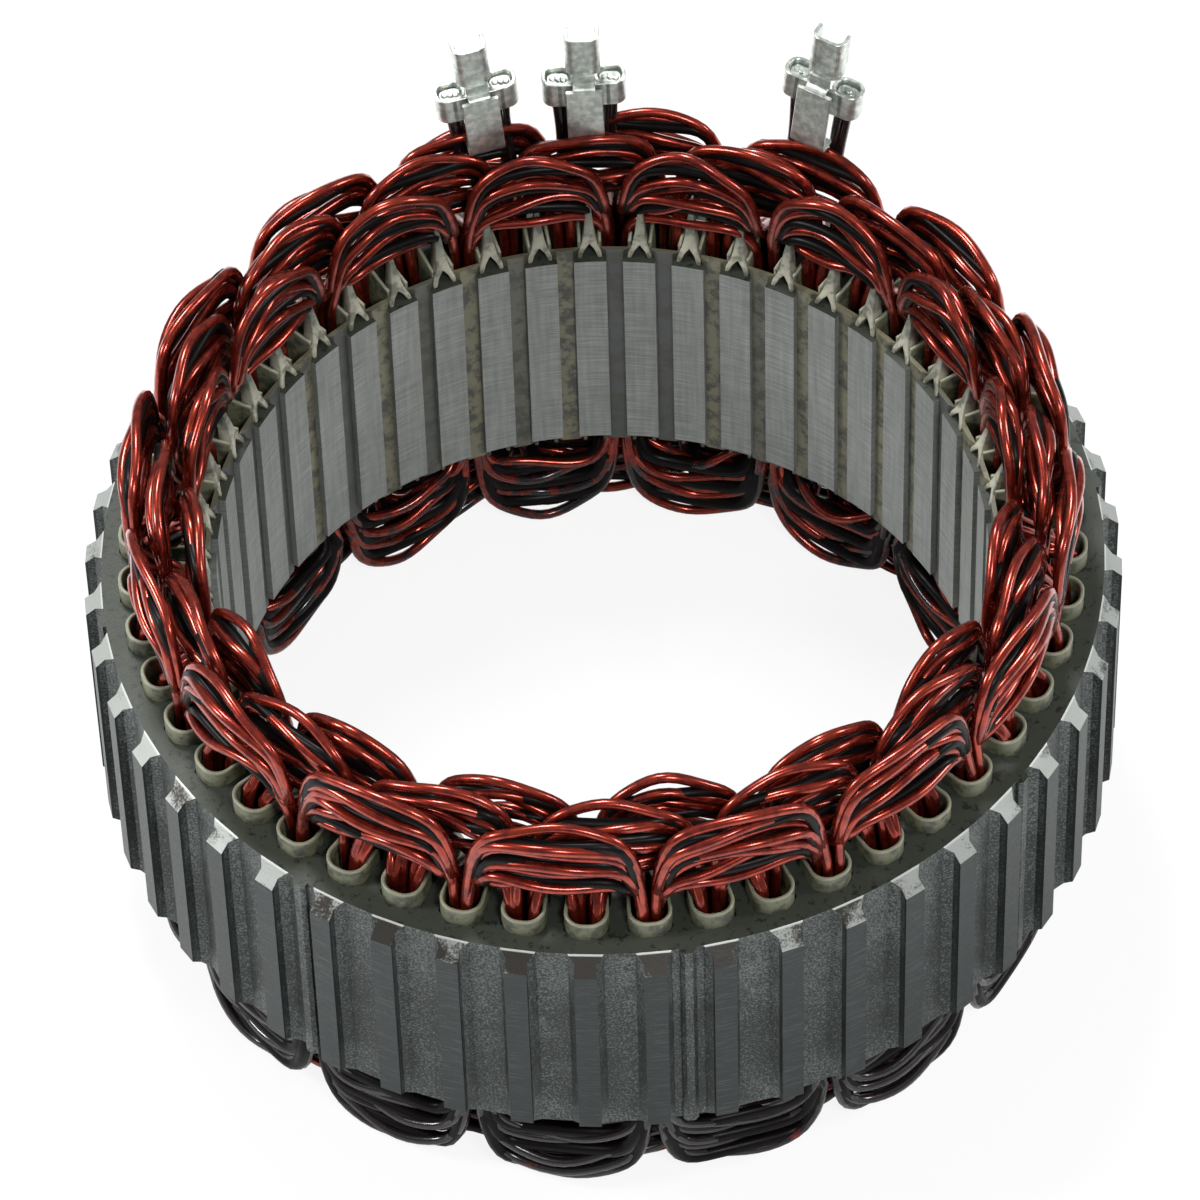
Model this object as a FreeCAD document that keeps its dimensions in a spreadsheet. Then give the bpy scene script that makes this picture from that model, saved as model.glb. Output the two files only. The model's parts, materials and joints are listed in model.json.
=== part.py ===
"""Wound three-phase alternator stator: a slotted lamination stack with its winding and terminals.

The axis of the stack is Z, and Z = 0 is the lowest point of the lower winding head. The stack has a
cooling rib outside each slot and a groove outside each tooth. Lengths are in millimetres. Slot 0
lies on -Y, and slots and angles count from there, anticlockwise seen from above.
"""

import FreeCAD, Part
import math
import os

import Sketcher

SIZES = {
    # lamination stack
    "outer_diameter": 150.0,
    "bore_diameter": 111.5,
    "stack_height": 40.0,
    "stack_base": 21.5,
    "slot_count": 48,
    "tooth_width": 2.5,
    "slot_mouth": 2.5,
    "lip_depth": 0.9,
    "lip_slope": 0.7,
    "slot_shoulder_radius": 68.3,
    "slot_end_radius": 69.9,
    "slot_end_flat": 3.0,
    "groove_floor_radius": 72.4,
    "groove_width": 6.6,
    "groove_corner": 1.1,
    "rim_drop": 2.3,
    "rib_blank": 0.5,
    "weld_count": 8,
    "weld_width": 2.2,
    "weld_rise": 1.0,
    # slot insulation
    "liner_wall": 0.55,
    "liner_stand": 2.9,
    "closer_stand": 1.6,
    # winding heads: heights are from the end faces of the stack
    "coil_pitch": 3,
    "head_gap": 7.0,
    "head_lift": 1.0,
    "head_valley": 16.3,
    "head_shoulder": 20.2,
    "head_crest": 21.5,
    "row_thickness": 3.3,
    "outer_row_radius": 65.65,
    "middle_row_radius": 61.65,
    "inner_row_radius": 57.65,
    # terminals
    "strip_thickness": 0.6,
    "plate_width": 5.4,
    "plate_height": 11.4,
    "plate_step": 1.4,
    "plate_fold": 0.7,
    "return_depth": 2.6,
    "neck_width": 3.3,
    "neck_height": 1.7,
    "fork_width": 5.2,
    "fork_depth": 3.1,
    "fork_height": 7.4,
    "fork_corner": 1.0,
    "barrel_width": 4.7,
    "barrel_depth": 4.1,
    "barrel_height": 4.7,
    "barrel_corner": 1.3,
    "barrel_offset": 3.85,
    "barrel_setback": 1.1,
    "lead_width": 2.4,
    "lead_recess": 0.7,
    "lead_foot": 9.0,
}

# name, angle, radius of the plate's front, height of its foot over the stack, lean sideways
# (+ towards larger angles) and lean outwards; angles in degrees
TERMINALS = (
    ("terminal_1", 195.2, 63.4, 18.9, 7.5, 6.0),
    ("terminal_2", 183.6, 63.0, 18.5, 1.0, 0.0),
    ("terminal_3", 153.7, 65.6, 21.6, -13.0, 6.0),
)

# name, first slot and radius of the row in the winding heads
PHASES = (
    ("phase_winding_a", 1, "outer_row_radius"),
    ("phase_winding_b", 2, "middle_row_radius"),
    ("phase_winding_c", 0, "inner_row_radius"),
)

# Expressions in the words of SIZES, for a slot that lies along +X.
TOOTH_TIP = "(bore_diameter / 2 + lip_depth)"
SLOT_START = "(bore_diameter / 2 + lip_depth + lip_slope)"
SLOT_START_HALF = f"({SLOT_START} * tan(180 deg / slot_count) - tooth_width / 2)"
SLOT_SHOULDER_HALF = "(slot_shoulder_radius * tan(180 deg / slot_count) - tooth_width / 2)"
WALL_ACROSS = "(liner_wall / cos(180 deg / slot_count))"
MITRE = "(0.4 * liner_wall)"
LINED_SHOULDER = f"(slot_shoulder_radius - {MITRE})"
LINED_START_HALF = f"({SLOT_START_HALF} - {WALL_ACROSS})"
LINED_SHOULDER_HALF = f"({SLOT_SHOULDER_HALF} - {MITRE} * tan(180 deg / slot_count) - {WALL_ACROSS})"
LINED_END = "(slot_end_radius - liner_wall)"
LINED_END_HALF = f"(slot_end_flat / 2 - {MITRE})"
STACK_TOP = "(stack_base + stack_height)"

UP = FreeCAD.Vector(0, 0, 1)
ORIGIN = FreeCAD.Vector(0, 0, 0)
SLOT_0 = -90.0  # angle of slot 0 from the X axis, in degrees
FLAT = 1e-6

doc = FreeCAD.newDocument("wound_stator")


# ---- sizes --------------------------------------------------------------------------------------


def make_sheet():
    """Write the driving sizes into a spreadsheet, one alias for each."""
    cells = doc.addObject("Spreadsheet::Sheet", "Sizes")
    for row, (alias, number) in enumerate(SIZES.items(), start=1):
        cells.set(f"A{row}", alias)
        cells.set(f"B{row}", str(number))
        cells.setAlias(f"B{row}", alias)
    doc.recompute()
    return cells


sheet = make_sheet()


def size(alias):
    """A size read back from the spreadsheet."""
    return float(sheet.get(alias))


def bound(text):
    """An expression in which each word of SIZES refers to the spreadsheet."""
    words = sorted(SIZES, key=len, reverse=True)
    for number, word in enumerate(words):
        text = text.replace(word, f"<{number}>")
    for number, word in enumerate(words):
        text = text.replace(f"<{number}>", f"Sizes.{word}")
    return text


def value(text):
    """The present value of an expression in the words of SIZES."""
    result = sheet.evalExpression(bound(text))
    return float(getattr(result, "Value", result))


PITCH = 360.0 / size("slot_count")


# ---- sketches and features ----------------------------------------------------------------------


def new_body(name):
    """A labelled PartDesign body."""
    body = doc.addObject("PartDesign::Body", name)
    body.Label = name
    return body


def new_sketch(body, name, role, corners, turn=0.0):
    """A closed outline on one of the body's origin planes, each corner bound to the spreadsheet."""
    sketch = body.newObject("Sketcher::SketchObject", name)
    plane = next(item for item in body.Origin.OriginFeatures if item.Role == role)
    sketch.AttachmentSupport = [(plane, "")]
    sketch.MapMode = "FlatFace"
    sketch.AttachmentOffset = FreeCAD.Placement(ORIGIN, FreeCAD.Rotation(UP, turn))
    places = [FreeCAD.Vector(value(x), value(y), 0) for x, y in corners]
    for start, end in zip(places, places[1:] + places[:1]):
        sketch.addGeometry(Part.LineSegment(start, end), False)
    for edge, (corner, place) in enumerate(zip(corners, places)):
        before = (edge - 1) % len(corners)
        sketch.addConstraint(Sketcher.Constraint("Coincident", before, 2, edge, 1))
        for kind, text, distance in (
            ("DistanceX", corner[0], place.x),
            ("DistanceY", corner[1], place.y),
        ):
            number = sketch.addConstraint(Sketcher.Constraint(kind, -1, 1, edge, 1, distance))
            sketch.setExpression(f"Constraints[{number}]", bound(text))
    return sketch


def symmetric(upper):
    """An outline symmetric about the sketch's X axis, from the corners on one side of it."""
    return [(x, f"-({y})") for x, y in upper] + list(reversed(upper))


def pocket(body, name, sketch, length=None):
    """Cut a sketch up through the whole body, or by a length to both sides of its plane."""
    cut = body.newObject("PartDesign::Pocket", name)
    cut.Profile = sketch
    if length is None:
        cut.Type = "ThroughAll"
        cut.Reversed = True
    else:
        cut.Midplane = True
        cut.setExpression("Length", bound(length))
    doc.recompute()
    return cut


def pad(body, name, sketch, base, length):
    """Raise a sketch from a height by a length."""
    sketch.setExpression("AttachmentOffset.Base.z", bound(base))
    raised = body.newObject("PartDesign::Pad", name)
    raised.Profile = sketch
    raised.setExpression("Length", bound(length))
    doc.recompute()
    return raised


def repeat_round(body, name, features, sketch, count):
    """Repeat features evenly about the axis, and make that the body's tip."""
    pattern = body.newObject("PartDesign::PolarPattern", name)
    pattern.Originals = features
    pattern.Axis = (sketch, ["N_Axis"])
    pattern.Angle = 360
    pattern.setExpression("Occurrences", bound(count))
    body.Tip = pattern
    doc.recompute()


# ---- lamination stack ---------------------------------------------------------------------------


def ring_outline():
    """Half section of the stack before its slots and grooves are cut."""
    return [
        ("bore_diameter / 2", "stack_base"),
        ("outer_diameter / 2 + rib_blank", "stack_base"),
        ("outer_diameter / 2 + rib_blank", STACK_TOP),
        ("bore_diameter / 2", STACK_TOP),
    ]


def slot_outline():
    """A slot: its mouth between the tooth tips, sloping shoulders, straight sides and blunt end."""
    return symmetric(
        [
            ("bore_diameter / 2 - 1", "slot_mouth / 2"),
            (TOOTH_TIP, "slot_mouth / 2"),
            (SLOT_START, SLOT_START_HALF),
            ("slot_shoulder_radius", SLOT_SHOULDER_HALF),
            ("slot_end_radius", "slot_end_flat / 2"),
        ]
    )


def groove_outline():
    """A cooling groove, open at the outside, with bevelled floor corners."""
    return symmetric(
        [
            ("outer_diameter / 2 + 2 * rib_blank", "groove_width / 2"),
            ("groove_floor_radius + groove_corner", "groove_width / 2"),
            ("groove_floor_radius", "groove_width / 2 - groove_corner"),
        ]
    )


def rib_outline():
    """What is cut away outside a rib: its flat face and the bevels on both of its ends."""
    clear = "outer_diameter / 2 + 2 * rib_blank"
    return [
        ("groove_floor_radius", "stack_base - 1"),
        ("groove_floor_radius", "stack_base"),
        ("outer_diameter / 2", "stack_base + rim_drop"),
        ("outer_diameter / 2", f"{STACK_TOP} - rim_drop"),
        ("groove_floor_radius", STACK_TOP),
        ("groove_floor_radius", f"{STACK_TOP} + 1"),
        (clear, f"{STACK_TOP} + 1"),
        (clear, "stack_base - 1"),
    ]


def seam_outline():
    """A weld bead that stands on a groove's floor."""
    return symmetric(
        [
            ("groove_floor_radius - 1", "weld_width / 2"),
            ("groove_floor_radius + weld_rise / 2", "weld_width / 2"),
            ("groove_floor_radius + weld_rise", "weld_width / 4"),
        ]
    )


def make_lamination_stack():
    """The stack: a turned ring, one slot, groove and rib repeated, and the weld seams."""
    body = new_body("lamination_stack")
    ring = body.newObject("PartDesign::Revolution", "ring")
    ring.Profile = new_sketch(body, "ring_section", "XZ_Plane", ring_outline())
    ring.ReferenceAxis = (ring.Profile[0], ["V_Axis"])
    ring.Angle = 360
    doc.recompute()

    slot_sketch = new_sketch(body, "slot_section", "XY_Plane", slot_outline())
    groove_sketch = new_sketch(body, "groove_section", "XY_Plane", groove_outline(), PITCH / 2)
    rib_sketch = new_sketch(body, "rib_section", "XZ_Plane", rib_outline())
    repeated = [
        pocket(body, "slot", slot_sketch),
        pocket(body, "groove", groove_sketch),
        pocket(body, "rib", rib_sketch, "groove_width"),
    ]
    repeat_round(body, "slots_grooves_and_ribs", repeated, slot_sketch, "slot_count")

    seam_sketch = new_sketch(body, "seam_section", "XY_Plane", seam_outline(), 1.5 * PITCH)
    seam = pad(body, "seam", seam_sketch, "stack_base", "stack_height")
    repeat_round(body, "seams", [seam], seam_sketch, "weld_count")
    return body


# ---- slot insulation ----------------------------------------------------------------------------


def liner_outline():
    """A U of folded sheet against the sides and the end of a slot, open towards the bore."""
    outer = [
        (SLOT_START, SLOT_START_HALF),
        ("slot_shoulder_radius", SLOT_SHOULDER_HALF),
        ("slot_end_radius", "slot_end_flat / 2"),
    ]
    inner = [
        (SLOT_START, LINED_START_HALF),
        (LINED_SHOULDER, LINED_SHOULDER_HALF),
        (LINED_END, LINED_END_HALF),
    ]
    return symmetric(outer) + list(reversed(symmetric(inner)))


def closer_outline():
    """The strip that closes a slot, held behind the sloping shoulders of the tooth tips."""
    return symmetric([(TOOTH_TIP, "slot_mouth / 2"), (SLOT_START, SLOT_START_HALF)])


def make_strips(name, corners, stand):
    """A strip in every slot, standing out of both ends of the stack: one node of separate solids."""
    master = new_body(f"{name}_master")
    sketch = new_sketch(master, f"{name}_section", "XY_Plane", corners)
    pad(master, f"{name}_strip", sketch, f"stack_base - {stand}", f"stack_height + 2 * {stand}")
    copies = []
    for slot in range(int(size("slot_count"))):
        copy = master.Shape.copy()
        copy.rotate(ORIGIN, UP, slot * PITCH)
        copies.append(copy)
    return new_piece(name, Part.makeCompound(copies))


# ---- solids from sections -----------------------------------------------------------------------


def new_piece(name, shape):
    """A labelled object that holds a finished shape."""
    piece = doc.addObject("Part::Feature", name)
    piece.Label = name
    piece.Shape = shape
    return piece


def polar(radius, angle, height):
    """A point by radius, angle from the X axis in degrees, and height."""
    turned = math.radians(angle)
    return FreeCAD.Vector(radius * math.cos(turned), radius * math.sin(turned), height)


def face(*points):
    """A flat face with straight edges."""
    return Part.Face(Part.makePolygon([*points, points[0]]))


def side_faces(first, second):
    """The sides between two sections: one flat face where four corners allow it, else two."""
    faces = []
    for corner in range(len(first)):
        following = (corner + 1) % len(first)
        p, q, r, s = first[corner], first[following], second[following], second[corner]
        normal = (q - p).cross(s - p)
        if abs(normal.dot(r - p)) < FLAT * max(normal.Length, 1.0):
            faces.append(face(p, q, r, s))
        else:
            faces += [face(p, q, r), face(p, r, s)]
    return faces


def solid_through(sections, ring=False):
    """A solid with flat sides through sections of equal corner count; a ring joins last to first."""
    faces = []
    for first, second in zip(sections, sections[1:]):
        faces += side_faces(first, second)
    if ring:
        faces += side_faces(sections[-1], sections[0])
    else:
        faces += [face(*sections[0]), face(*sections[-1])]
    solid = Part.Solid(Part.Shell(faces))
    if solid.Volume < 0:
        solid.reverse()
    return solid


def prism(points, sweep):
    """A flat outline swept along a straight line."""
    return face(*points).extrude(sweep)


# ---- winding ------------------------------------------------------------------------------------


def bundle_corners(height):
    """Section of the wires that fill a liner."""
    upper = [
        (value(SLOT_START), value(LINED_START_HALF)),
        (value(LINED_SHOULDER), value(LINED_SHOULDER_HALF)),
        (value(LINED_END), value(LINED_END_HALF)),
    ]
    both = [(x, -y) for x, y in upper] + list(reversed(upper))
    return [FreeCAD.Vector(x, y, height) for x, y in both]


def rectangle(inner, outer, half, height):
    """Corners of a level rectangle about the slot's middle line."""
    return [
        FreeCAD.Vector(inner, -half, height),
        FreeCAD.Vector(outer, -half, height),
        FreeCAD.Vector(outer, half, height),
        FreeCAD.Vector(inner, half, height),
    ]


def make_slot_part(row_inner):
    """The wires in one slot, drawn together above and below the liner into the row of their phase."""
    low = value("stack_base - liner_stand")
    high = value(f"{STACK_TOP} + liner_stand")
    bar = prism(bundle_corners(low), UP * (high - low))
    half = value(LINED_START_HALF)
    row_outer = row_inner + size("row_thickness")
    gathers = []
    for start, end in (
        (high, value(f"{STACK_TOP} + head_gap")),
        (low, value("stack_base - head_gap")),
    ):
        wide = rectangle(value(SLOT_START), value(LINED_SHOULDER), half, start)
        narrow = rectangle(row_inner, row_outer, half, end)
        gathers.append(solid_through([wide, narrow]))
    return bar.multiFuse(gathers)


def head_profile():
    """Share of half an arch from the slot to mid-arch, and the band's low and high edges there."""
    gap, lift = size("head_gap"), size("head_lift")
    return (
        (0.2, gap, size("head_valley")),
        (0.55, gap + 0.7 * lift, size("head_shoulder")),
        (1.0, gap + lift, size("head_crest")),
    )


def make_head(row_inner, first_slot, base, way):
    """One phase's arches on one end: a standing band of wires that dips at each of its slots."""
    half_span = size("coil_pitch") * PITCH / 2
    row_outer = row_inner + size("row_thickness")
    profile = head_profile()
    shares = [(-share, low, high) for share, low, high in reversed(profile)][1:] + list(profile)
    sections = []
    for slot in range(first_slot, int(size("slot_count")), int(size("coil_pitch"))):
        for share, low, high in shares:
            angle = SLOT_0 + slot * PITCH + share * half_span
            sections.append(
                [
                    polar(row_inner, angle, base + way * low),
                    polar(row_outer, angle, base + way * low),
                    polar(row_outer, angle, base + way * high),
                    polar(row_inner, angle, base + way * high),
                ]
            )
    return solid_through(sections, ring=True)


def make_phase(name, first_slot, row_alias):
    """One phase as one solid: the wires in every third slot, joined by the arches on both ends."""
    row_inner = size(row_alias)
    slot_part = make_slot_part(row_inner)
    parts = [make_head(row_inner, first_slot, size("stack_base"), -1)]
    for slot in range(first_slot, int(size("slot_count")), int(size("coil_pitch"))):
        copy = slot_part.copy()
        copy.rotate(ORIGIN, UP, SLOT_0 + slot * PITCH)
        parts.append(copy)
    upper = make_head(row_inner, first_slot, value(STACK_TOP), 1)
    return new_piece(name, upper.multiFuse(parts).Solids[0])


# ---- terminals ----------------------------------------------------------------------------------
# A terminal is built upright: X is across it, +Y points outwards from the front of its plate, and
# Z = 0 is its foot.


def octagon(width, depth, corner, centre, front, height):
    """A rectangle with bevelled corners, level at a height."""
    left, right, back = centre - width / 2, centre + width / 2, front + depth
    outline = (
        (left + corner, front),
        (right - corner, front),
        (right, front + corner),
        (right, back - corner),
        (right - corner, back),
        (left + corner, back),
        (left, back - corner),
        (left, front + corner),
    )
    return [FreeCAD.Vector(x, y, height) for x, y in outline]


def barrel_room(corner_share=0.6):
    """Width, depth and corner of the space inside a crimp barrel."""
    wall = size("strip_thickness")
    corner = size("barrel_corner") - corner_share * wall
    return size("barrel_width") - 2 * wall, size("barrel_depth") - 2 * wall, corner


def make_barrel(side):
    """A flattened crimp tube beside the neck, open at both ends; side is -1 or 1."""
    base = value("plate_height - barrel_height")
    rise = UP * size("barrel_height")
    centre, front = side * size("barrel_offset"), size("barrel_setback")
    width, depth, corner = barrel_room()
    outer = octagon(
        size("barrel_width"), size("barrel_depth"), size("barrel_corner"), centre, front, base
    )
    inner = octagon(width, depth, corner, centre, front + size("strip_thickness"), base)
    return prism(outer, rise).cut(prism(inner, rise))


def make_strip_fold(width, outline):
    """A folded strip: its outline in the radial plane, given as (Y, Z), swept across its width."""
    points = [FreeCAD.Vector(-width / 2, y, z) for y, z in outline]
    return prism(points, FreeCAD.Vector(width, 0, 0))


def make_plate():
    """The front plate, with the return at its foot and the step back to the neck at its top."""
    wall, fold, step = size("strip_thickness"), size("plate_fold"), size("plate_step")
    height, back = size("plate_height"), size("return_depth")
    plate = make_strip_fold(
        size("plate_width"),
        [(0, fold), (fold, 0), (back, 0), (back, wall), (fold + wall / 4, wall)]
        + [(wall, fold + wall / 4), (wall, height), (0, height)],
    )
    neck = make_strip_fold(
        size("neck_width"),
        [(0, height - wall), (step, height - wall), (step + wall, height - wall)]
        + [(step + wall, height + size("neck_height")), (step, height + size("neck_height"))]
        + [(step, height), (0, height)],
    )
    web = make_strip_fold(
        2 * size("barrel_offset"),
        [(size("barrel_setback"), value("plate_height - barrel_height")), (size("barrel_setback"), height)]
        + [(size("barrel_setback") + wall, height)]
        + [(size("barrel_setback") + wall, value("plate_height - barrel_height"))],
    )
    return plate.multiFuse([neck, web])


def make_fork():
    """The channel on the neck, open outwards, that the connecting wire is pressed into."""
    wall, corner = size("strip_thickness"), size("fork_corner")
    half, depth = size("fork_width") / 2, size("fork_depth")
    inset = corner + wall * math.tan(math.pi / 8)
    right = [
        (half - corner, 0),
        (half, corner),
        (half, depth),
        (half - wall, depth),
        (half - wall, inset),
        (half - inset, wall),
    ]
    outline = right + [(-x, y) for x, y in reversed(right)]
    base = value("plate_height + neck_height")
    points = [FreeCAD.Vector(x, y + size("plate_step"), base) for x, y in outline]
    return prism(points, UP * size("fork_height"))


def terminal_placement(angle, radius, foot, side_lean, out_lean):
    """Where a terminal stands, its plate facing the bore."""
    sideways = FreeCAD.Rotation(FreeCAD.Vector(0, 1, 0), -side_lean)
    outwards = FreeCAD.Rotation(FreeCAD.Vector(1, 0, 0), -out_lean)
    facing = FreeCAD.Rotation(UP, 180.0 + angle)
    place = polar(radius, SLOT_0 + angle, value(STACK_TOP) + foot)
    return FreeCAD.Placement(place, facing.multiply(sideways).multiply(outwards))


def make_terminal(name, placement):
    """One folded terminal with its fork and its two crimp barrels."""
    shape = make_plate().multiFuse([make_fork(), make_barrel(-1), make_barrel(1)])
    terminal = new_piece(name, shape.removeSplitter().Solids[0])
    terminal.Placement = placement
    return terminal


def make_lead(name, side, placement, phases):
    """The end of a phase that rises out of the winding head and fills one crimp barrel."""
    width, depth, corner = barrel_room()
    base = value("plate_height - barrel_height")
    centre, front = side * size("barrel_offset"), value("barrel_setback + strip_thickness")
    filling = prism(
        octagon(width, depth, corner, centre, front, base),
        UP * value("barrel_height - lead_recess"),
    )
    thick = size("lead_width")
    tail_front = front + (depth - thick) / 2
    tail = prism(
        octagon(thick, thick, thick / 4, centre, tail_front, -size("lead_foot")),
        UP * (base + size("lead_foot")),
    )
    whole = filling.fuse(tail)
    whole.Placement = placement
    above = whole.cut(Part.makeCompound([phase.Shape for phase in phases]))
    return new_piece(name, max(above.Solids, key=lambda solid: solid.CenterOfMass.z))


# ---- document -----------------------------------------------------------------------------------


def check_document(nodes):
    """Stop if an object of the document failed, or if a node's shape is empty or invalid."""
    for item in doc.Objects:
        if "Invalid" in item.State or "Error" in item.State:
            raise RuntimeError(f"{item.Name} failed: {item.State}")
    for node in nodes:
        if node.Shape.isNull() or not node.Shape.isValid():
            raise RuntimeError(f"{node.Label} has no valid shape")


def main():
    """Build every piece and write one STEP file for each."""
    nodes = [
        make_lamination_stack(),
        make_strips("slot_liners", liner_outline(), "liner_stand"),
        make_strips("slot_closers", closer_outline(), "closer_stand"),
    ]
    phases = [make_phase(*phase) for phase in PHASES]
    nodes += phases
    for name, *stand in TERMINALS:
        placement = terminal_placement(*stand)
        nodes.append(make_terminal(name, placement))
        for side, word in ((-1, "left"), (1, "right")):
            lead_name = f"{name.replace('terminal', 'lead')}_{word}"
            nodes.append(make_lead(lead_name, side, placement, phases))
    doc.recompute()
    check_document(nodes)
    os.makedirs("parts", exist_ok=True)
    for node in nodes:
        node.Shape.exportStep(f"parts/{node.Label}.step")
        print(node.Label, len(node.Shape.Solids), round(node.Shape.Volume, 1))


main()
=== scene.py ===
"""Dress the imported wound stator: wires, slot insulation, terminals, finishes, light and camera."""

import json
import logging
import math
from dataclasses import dataclass
from enum import Enum
from itertools import pairwise

import bmesh
import bpy
from mathutils import Matrix, Vector

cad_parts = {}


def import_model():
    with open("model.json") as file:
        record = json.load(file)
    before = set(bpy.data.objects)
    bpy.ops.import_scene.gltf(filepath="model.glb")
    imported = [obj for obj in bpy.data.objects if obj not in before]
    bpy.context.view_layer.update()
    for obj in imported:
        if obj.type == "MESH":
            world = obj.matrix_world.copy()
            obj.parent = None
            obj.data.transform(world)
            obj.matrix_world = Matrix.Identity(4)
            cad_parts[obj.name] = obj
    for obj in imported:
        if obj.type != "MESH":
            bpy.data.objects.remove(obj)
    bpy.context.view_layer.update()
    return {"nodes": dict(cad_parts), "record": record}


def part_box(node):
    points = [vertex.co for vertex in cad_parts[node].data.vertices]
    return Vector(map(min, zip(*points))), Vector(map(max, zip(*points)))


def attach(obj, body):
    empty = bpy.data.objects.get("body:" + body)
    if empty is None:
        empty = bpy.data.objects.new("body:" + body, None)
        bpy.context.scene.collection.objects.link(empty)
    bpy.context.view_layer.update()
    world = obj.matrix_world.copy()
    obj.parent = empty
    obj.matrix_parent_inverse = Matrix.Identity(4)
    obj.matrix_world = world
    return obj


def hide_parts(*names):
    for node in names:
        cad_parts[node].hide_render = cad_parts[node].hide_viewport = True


LOG = logging.getLogger("wound_stator")
MM = 0.001
FULL_TURN = 2.0 * math.pi
SLOTS = 48

Colour = tuple[float, float, float]
Axes = tuple[float, float, float]
Point = tuple[float, float]
Loop = list[bmesh.types.BMVert]

EVEN: Axes = (1.0, 1.0, 1.0)

# The places of the float sockets on a Random Value node, and of the colour sockets on a Mix node.
RANDOM_LIMITS, RANDOM_RESULT = (2, 3), 1
MIX_COLOURS, MIX_RESULT = (6, 7), 2


# ---- node trees ---------------------------------------------------------------------------------


class Number:
    """A number inside a node tree, with ordinary arithmetic."""

    def __init__(self, tree: bpy.types.NodeTree, socket: bpy.types.NodeSocket) -> None:
        """Hold the socket that carries the number.

        Args:
            tree: the tree that the socket belongs to.
            socket: the output that carries the number.
        """
        self.tree = tree
        self.socket = socket

    def math(self, operation: str, *others: "Number | float") -> "Number":
        """Apply a Math node with this number first.

        Args:
            operation: the Math node's operation.
            others: the other operands, numbers of the tree or plain ones.

        Returns:
            The result.
        """
        node = self.tree.nodes.new("ShaderNodeMath")
        node.operation = operation
        self.tree.links.new(self.socket, node.inputs[0])
        for place, other in enumerate(others, start=1):
            if isinstance(other, Number):
                self.tree.links.new(other.socket, node.inputs[place])
            else:
                node.inputs[place].default_value = other
        return Number(self.tree, node.outputs[0])

    def __add__(self, other: "Number | float") -> "Number":
        """Sum."""
        return self.math("ADD", other)

    def __sub__(self, other: "Number | float") -> "Number":
        """Difference."""
        return self.math("SUBTRACT", other)

    def __mul__(self, other: "Number | float") -> "Number":
        """Product."""
        return self.math("MULTIPLY", other)

    def __truediv__(self, other: "Number | float") -> "Number":
        """Quotient."""
        return self.math("DIVIDE", other)

    def faded(self, share: float = 1.0) -> "Number":
        """One minus a share of the number."""
        return self * -share + 1.0

    def clamped(self, low: float, high: float) -> "Number":
        """The number kept between two limits."""
        return self.math("MAXIMUM", low).math("MINIMUM", high)

    def step(self, low: float, high: float) -> "Number":
        """A smooth step from 0 below low to 1 above high."""
        share = ((self - low) / (high - low)).clamped(0.0, 1.0)
        return share * share * (share * -2.0 + 3.0)

    def between(self, low: float, high: float, soft: float) -> "Number":
        """About 1 between two limits and 0 outside them, with soft edges."""
        return self.step(low - soft, low + soft) * self.step(high - soft, high + soft).faded()


class TreeMaker:
    """A node tree under construction."""

    def __init__(self, tree: bpy.types.NodeTree) -> None:
        """Hold the tree that the nodes go into."""
        self.tree = tree

    def node(self, kind: str, **links: bpy.types.NodeSocket) -> bpy.types.Node:
        """Add a node and link its inputs.

        Args:
            kind: the node's type.
            links: sockets by the input's name, with spaces as underscores.

        Returns:
            The new node.
        """
        made = self.tree.nodes.new(kind)
        for name, socket in links.items():
            self.tree.links.new(socket, made.inputs[name.replace("_", " ")])
        return made

    def result(self, node: bpy.types.Node, name: int | str = 0) -> Number:
        """One of a node's outputs as a number."""
        return Number(self.tree, node.outputs[name])


class GeometryTree(TreeMaker):
    """A geometry node tree under construction."""

    def __init__(self, name: str) -> None:
        """Start an empty tree with a geometry output.

        Args:
            name: the tree's name.
        """
        super().__init__(bpy.data.node_groups.new(name, "GeometryNodeTree"))
        sockets = self.tree.interface
        sockets.new_socket("Geometry", in_out="OUTPUT", socket_type="NodeSocketGeometry")
        self.inlet = self.tree.nodes.new("NodeGroupInput")
        self.outlet = self.tree.nodes.new("NodeGroupOutput")

    def input(self, name: str, kind: str = "NodeSocketFloat") -> bpy.types.NodeSocket:
        """Add a named input and return the socket that carries it."""
        self.tree.interface.new_socket(name, in_out="INPUT", socket_type=kind)
        return self.inlet.outputs[name]

    def number(self, name: str, kind: str = "NodeSocketFloat") -> Number:
        """Add a named number input."""
        return Number(self.tree, self.input(name, kind))

    def random(self, low: float, high: float, **links: bpy.types.NodeSocket) -> bpy.types.Node:
        """Add a Random Value node between two limits.

        Args:
            low: the lowest value.
            high: the highest value.
            links: sockets by the input's name.

        Returns:
            The new node.
        """
        made = self.node("FunctionNodeRandomValue", **links)
        for place, limit in zip(RANDOM_LIMITS, (low, high)):
            made.inputs[place].default_value = limit
        return made

    def finish(
        self, geometry: bpy.types.NodeSocket, material: bpy.types.NodeSocket
    ) -> bpy.types.NodeTree:
        """End the tree in Realize Instances and Set Material.

        Args:
            geometry: the geometry to output.
            material: the material input.

        Returns:
            The finished tree.
        """
        real = self.node("GeometryNodeRealizeInstances", Geometry=geometry).outputs[0]
        dressed = self.node("GeometryNodeSetMaterial", Geometry=real, Material=material)
        self.tree.links.new(dressed.outputs[0], self.outlet.inputs[0])
        return self.tree


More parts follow.
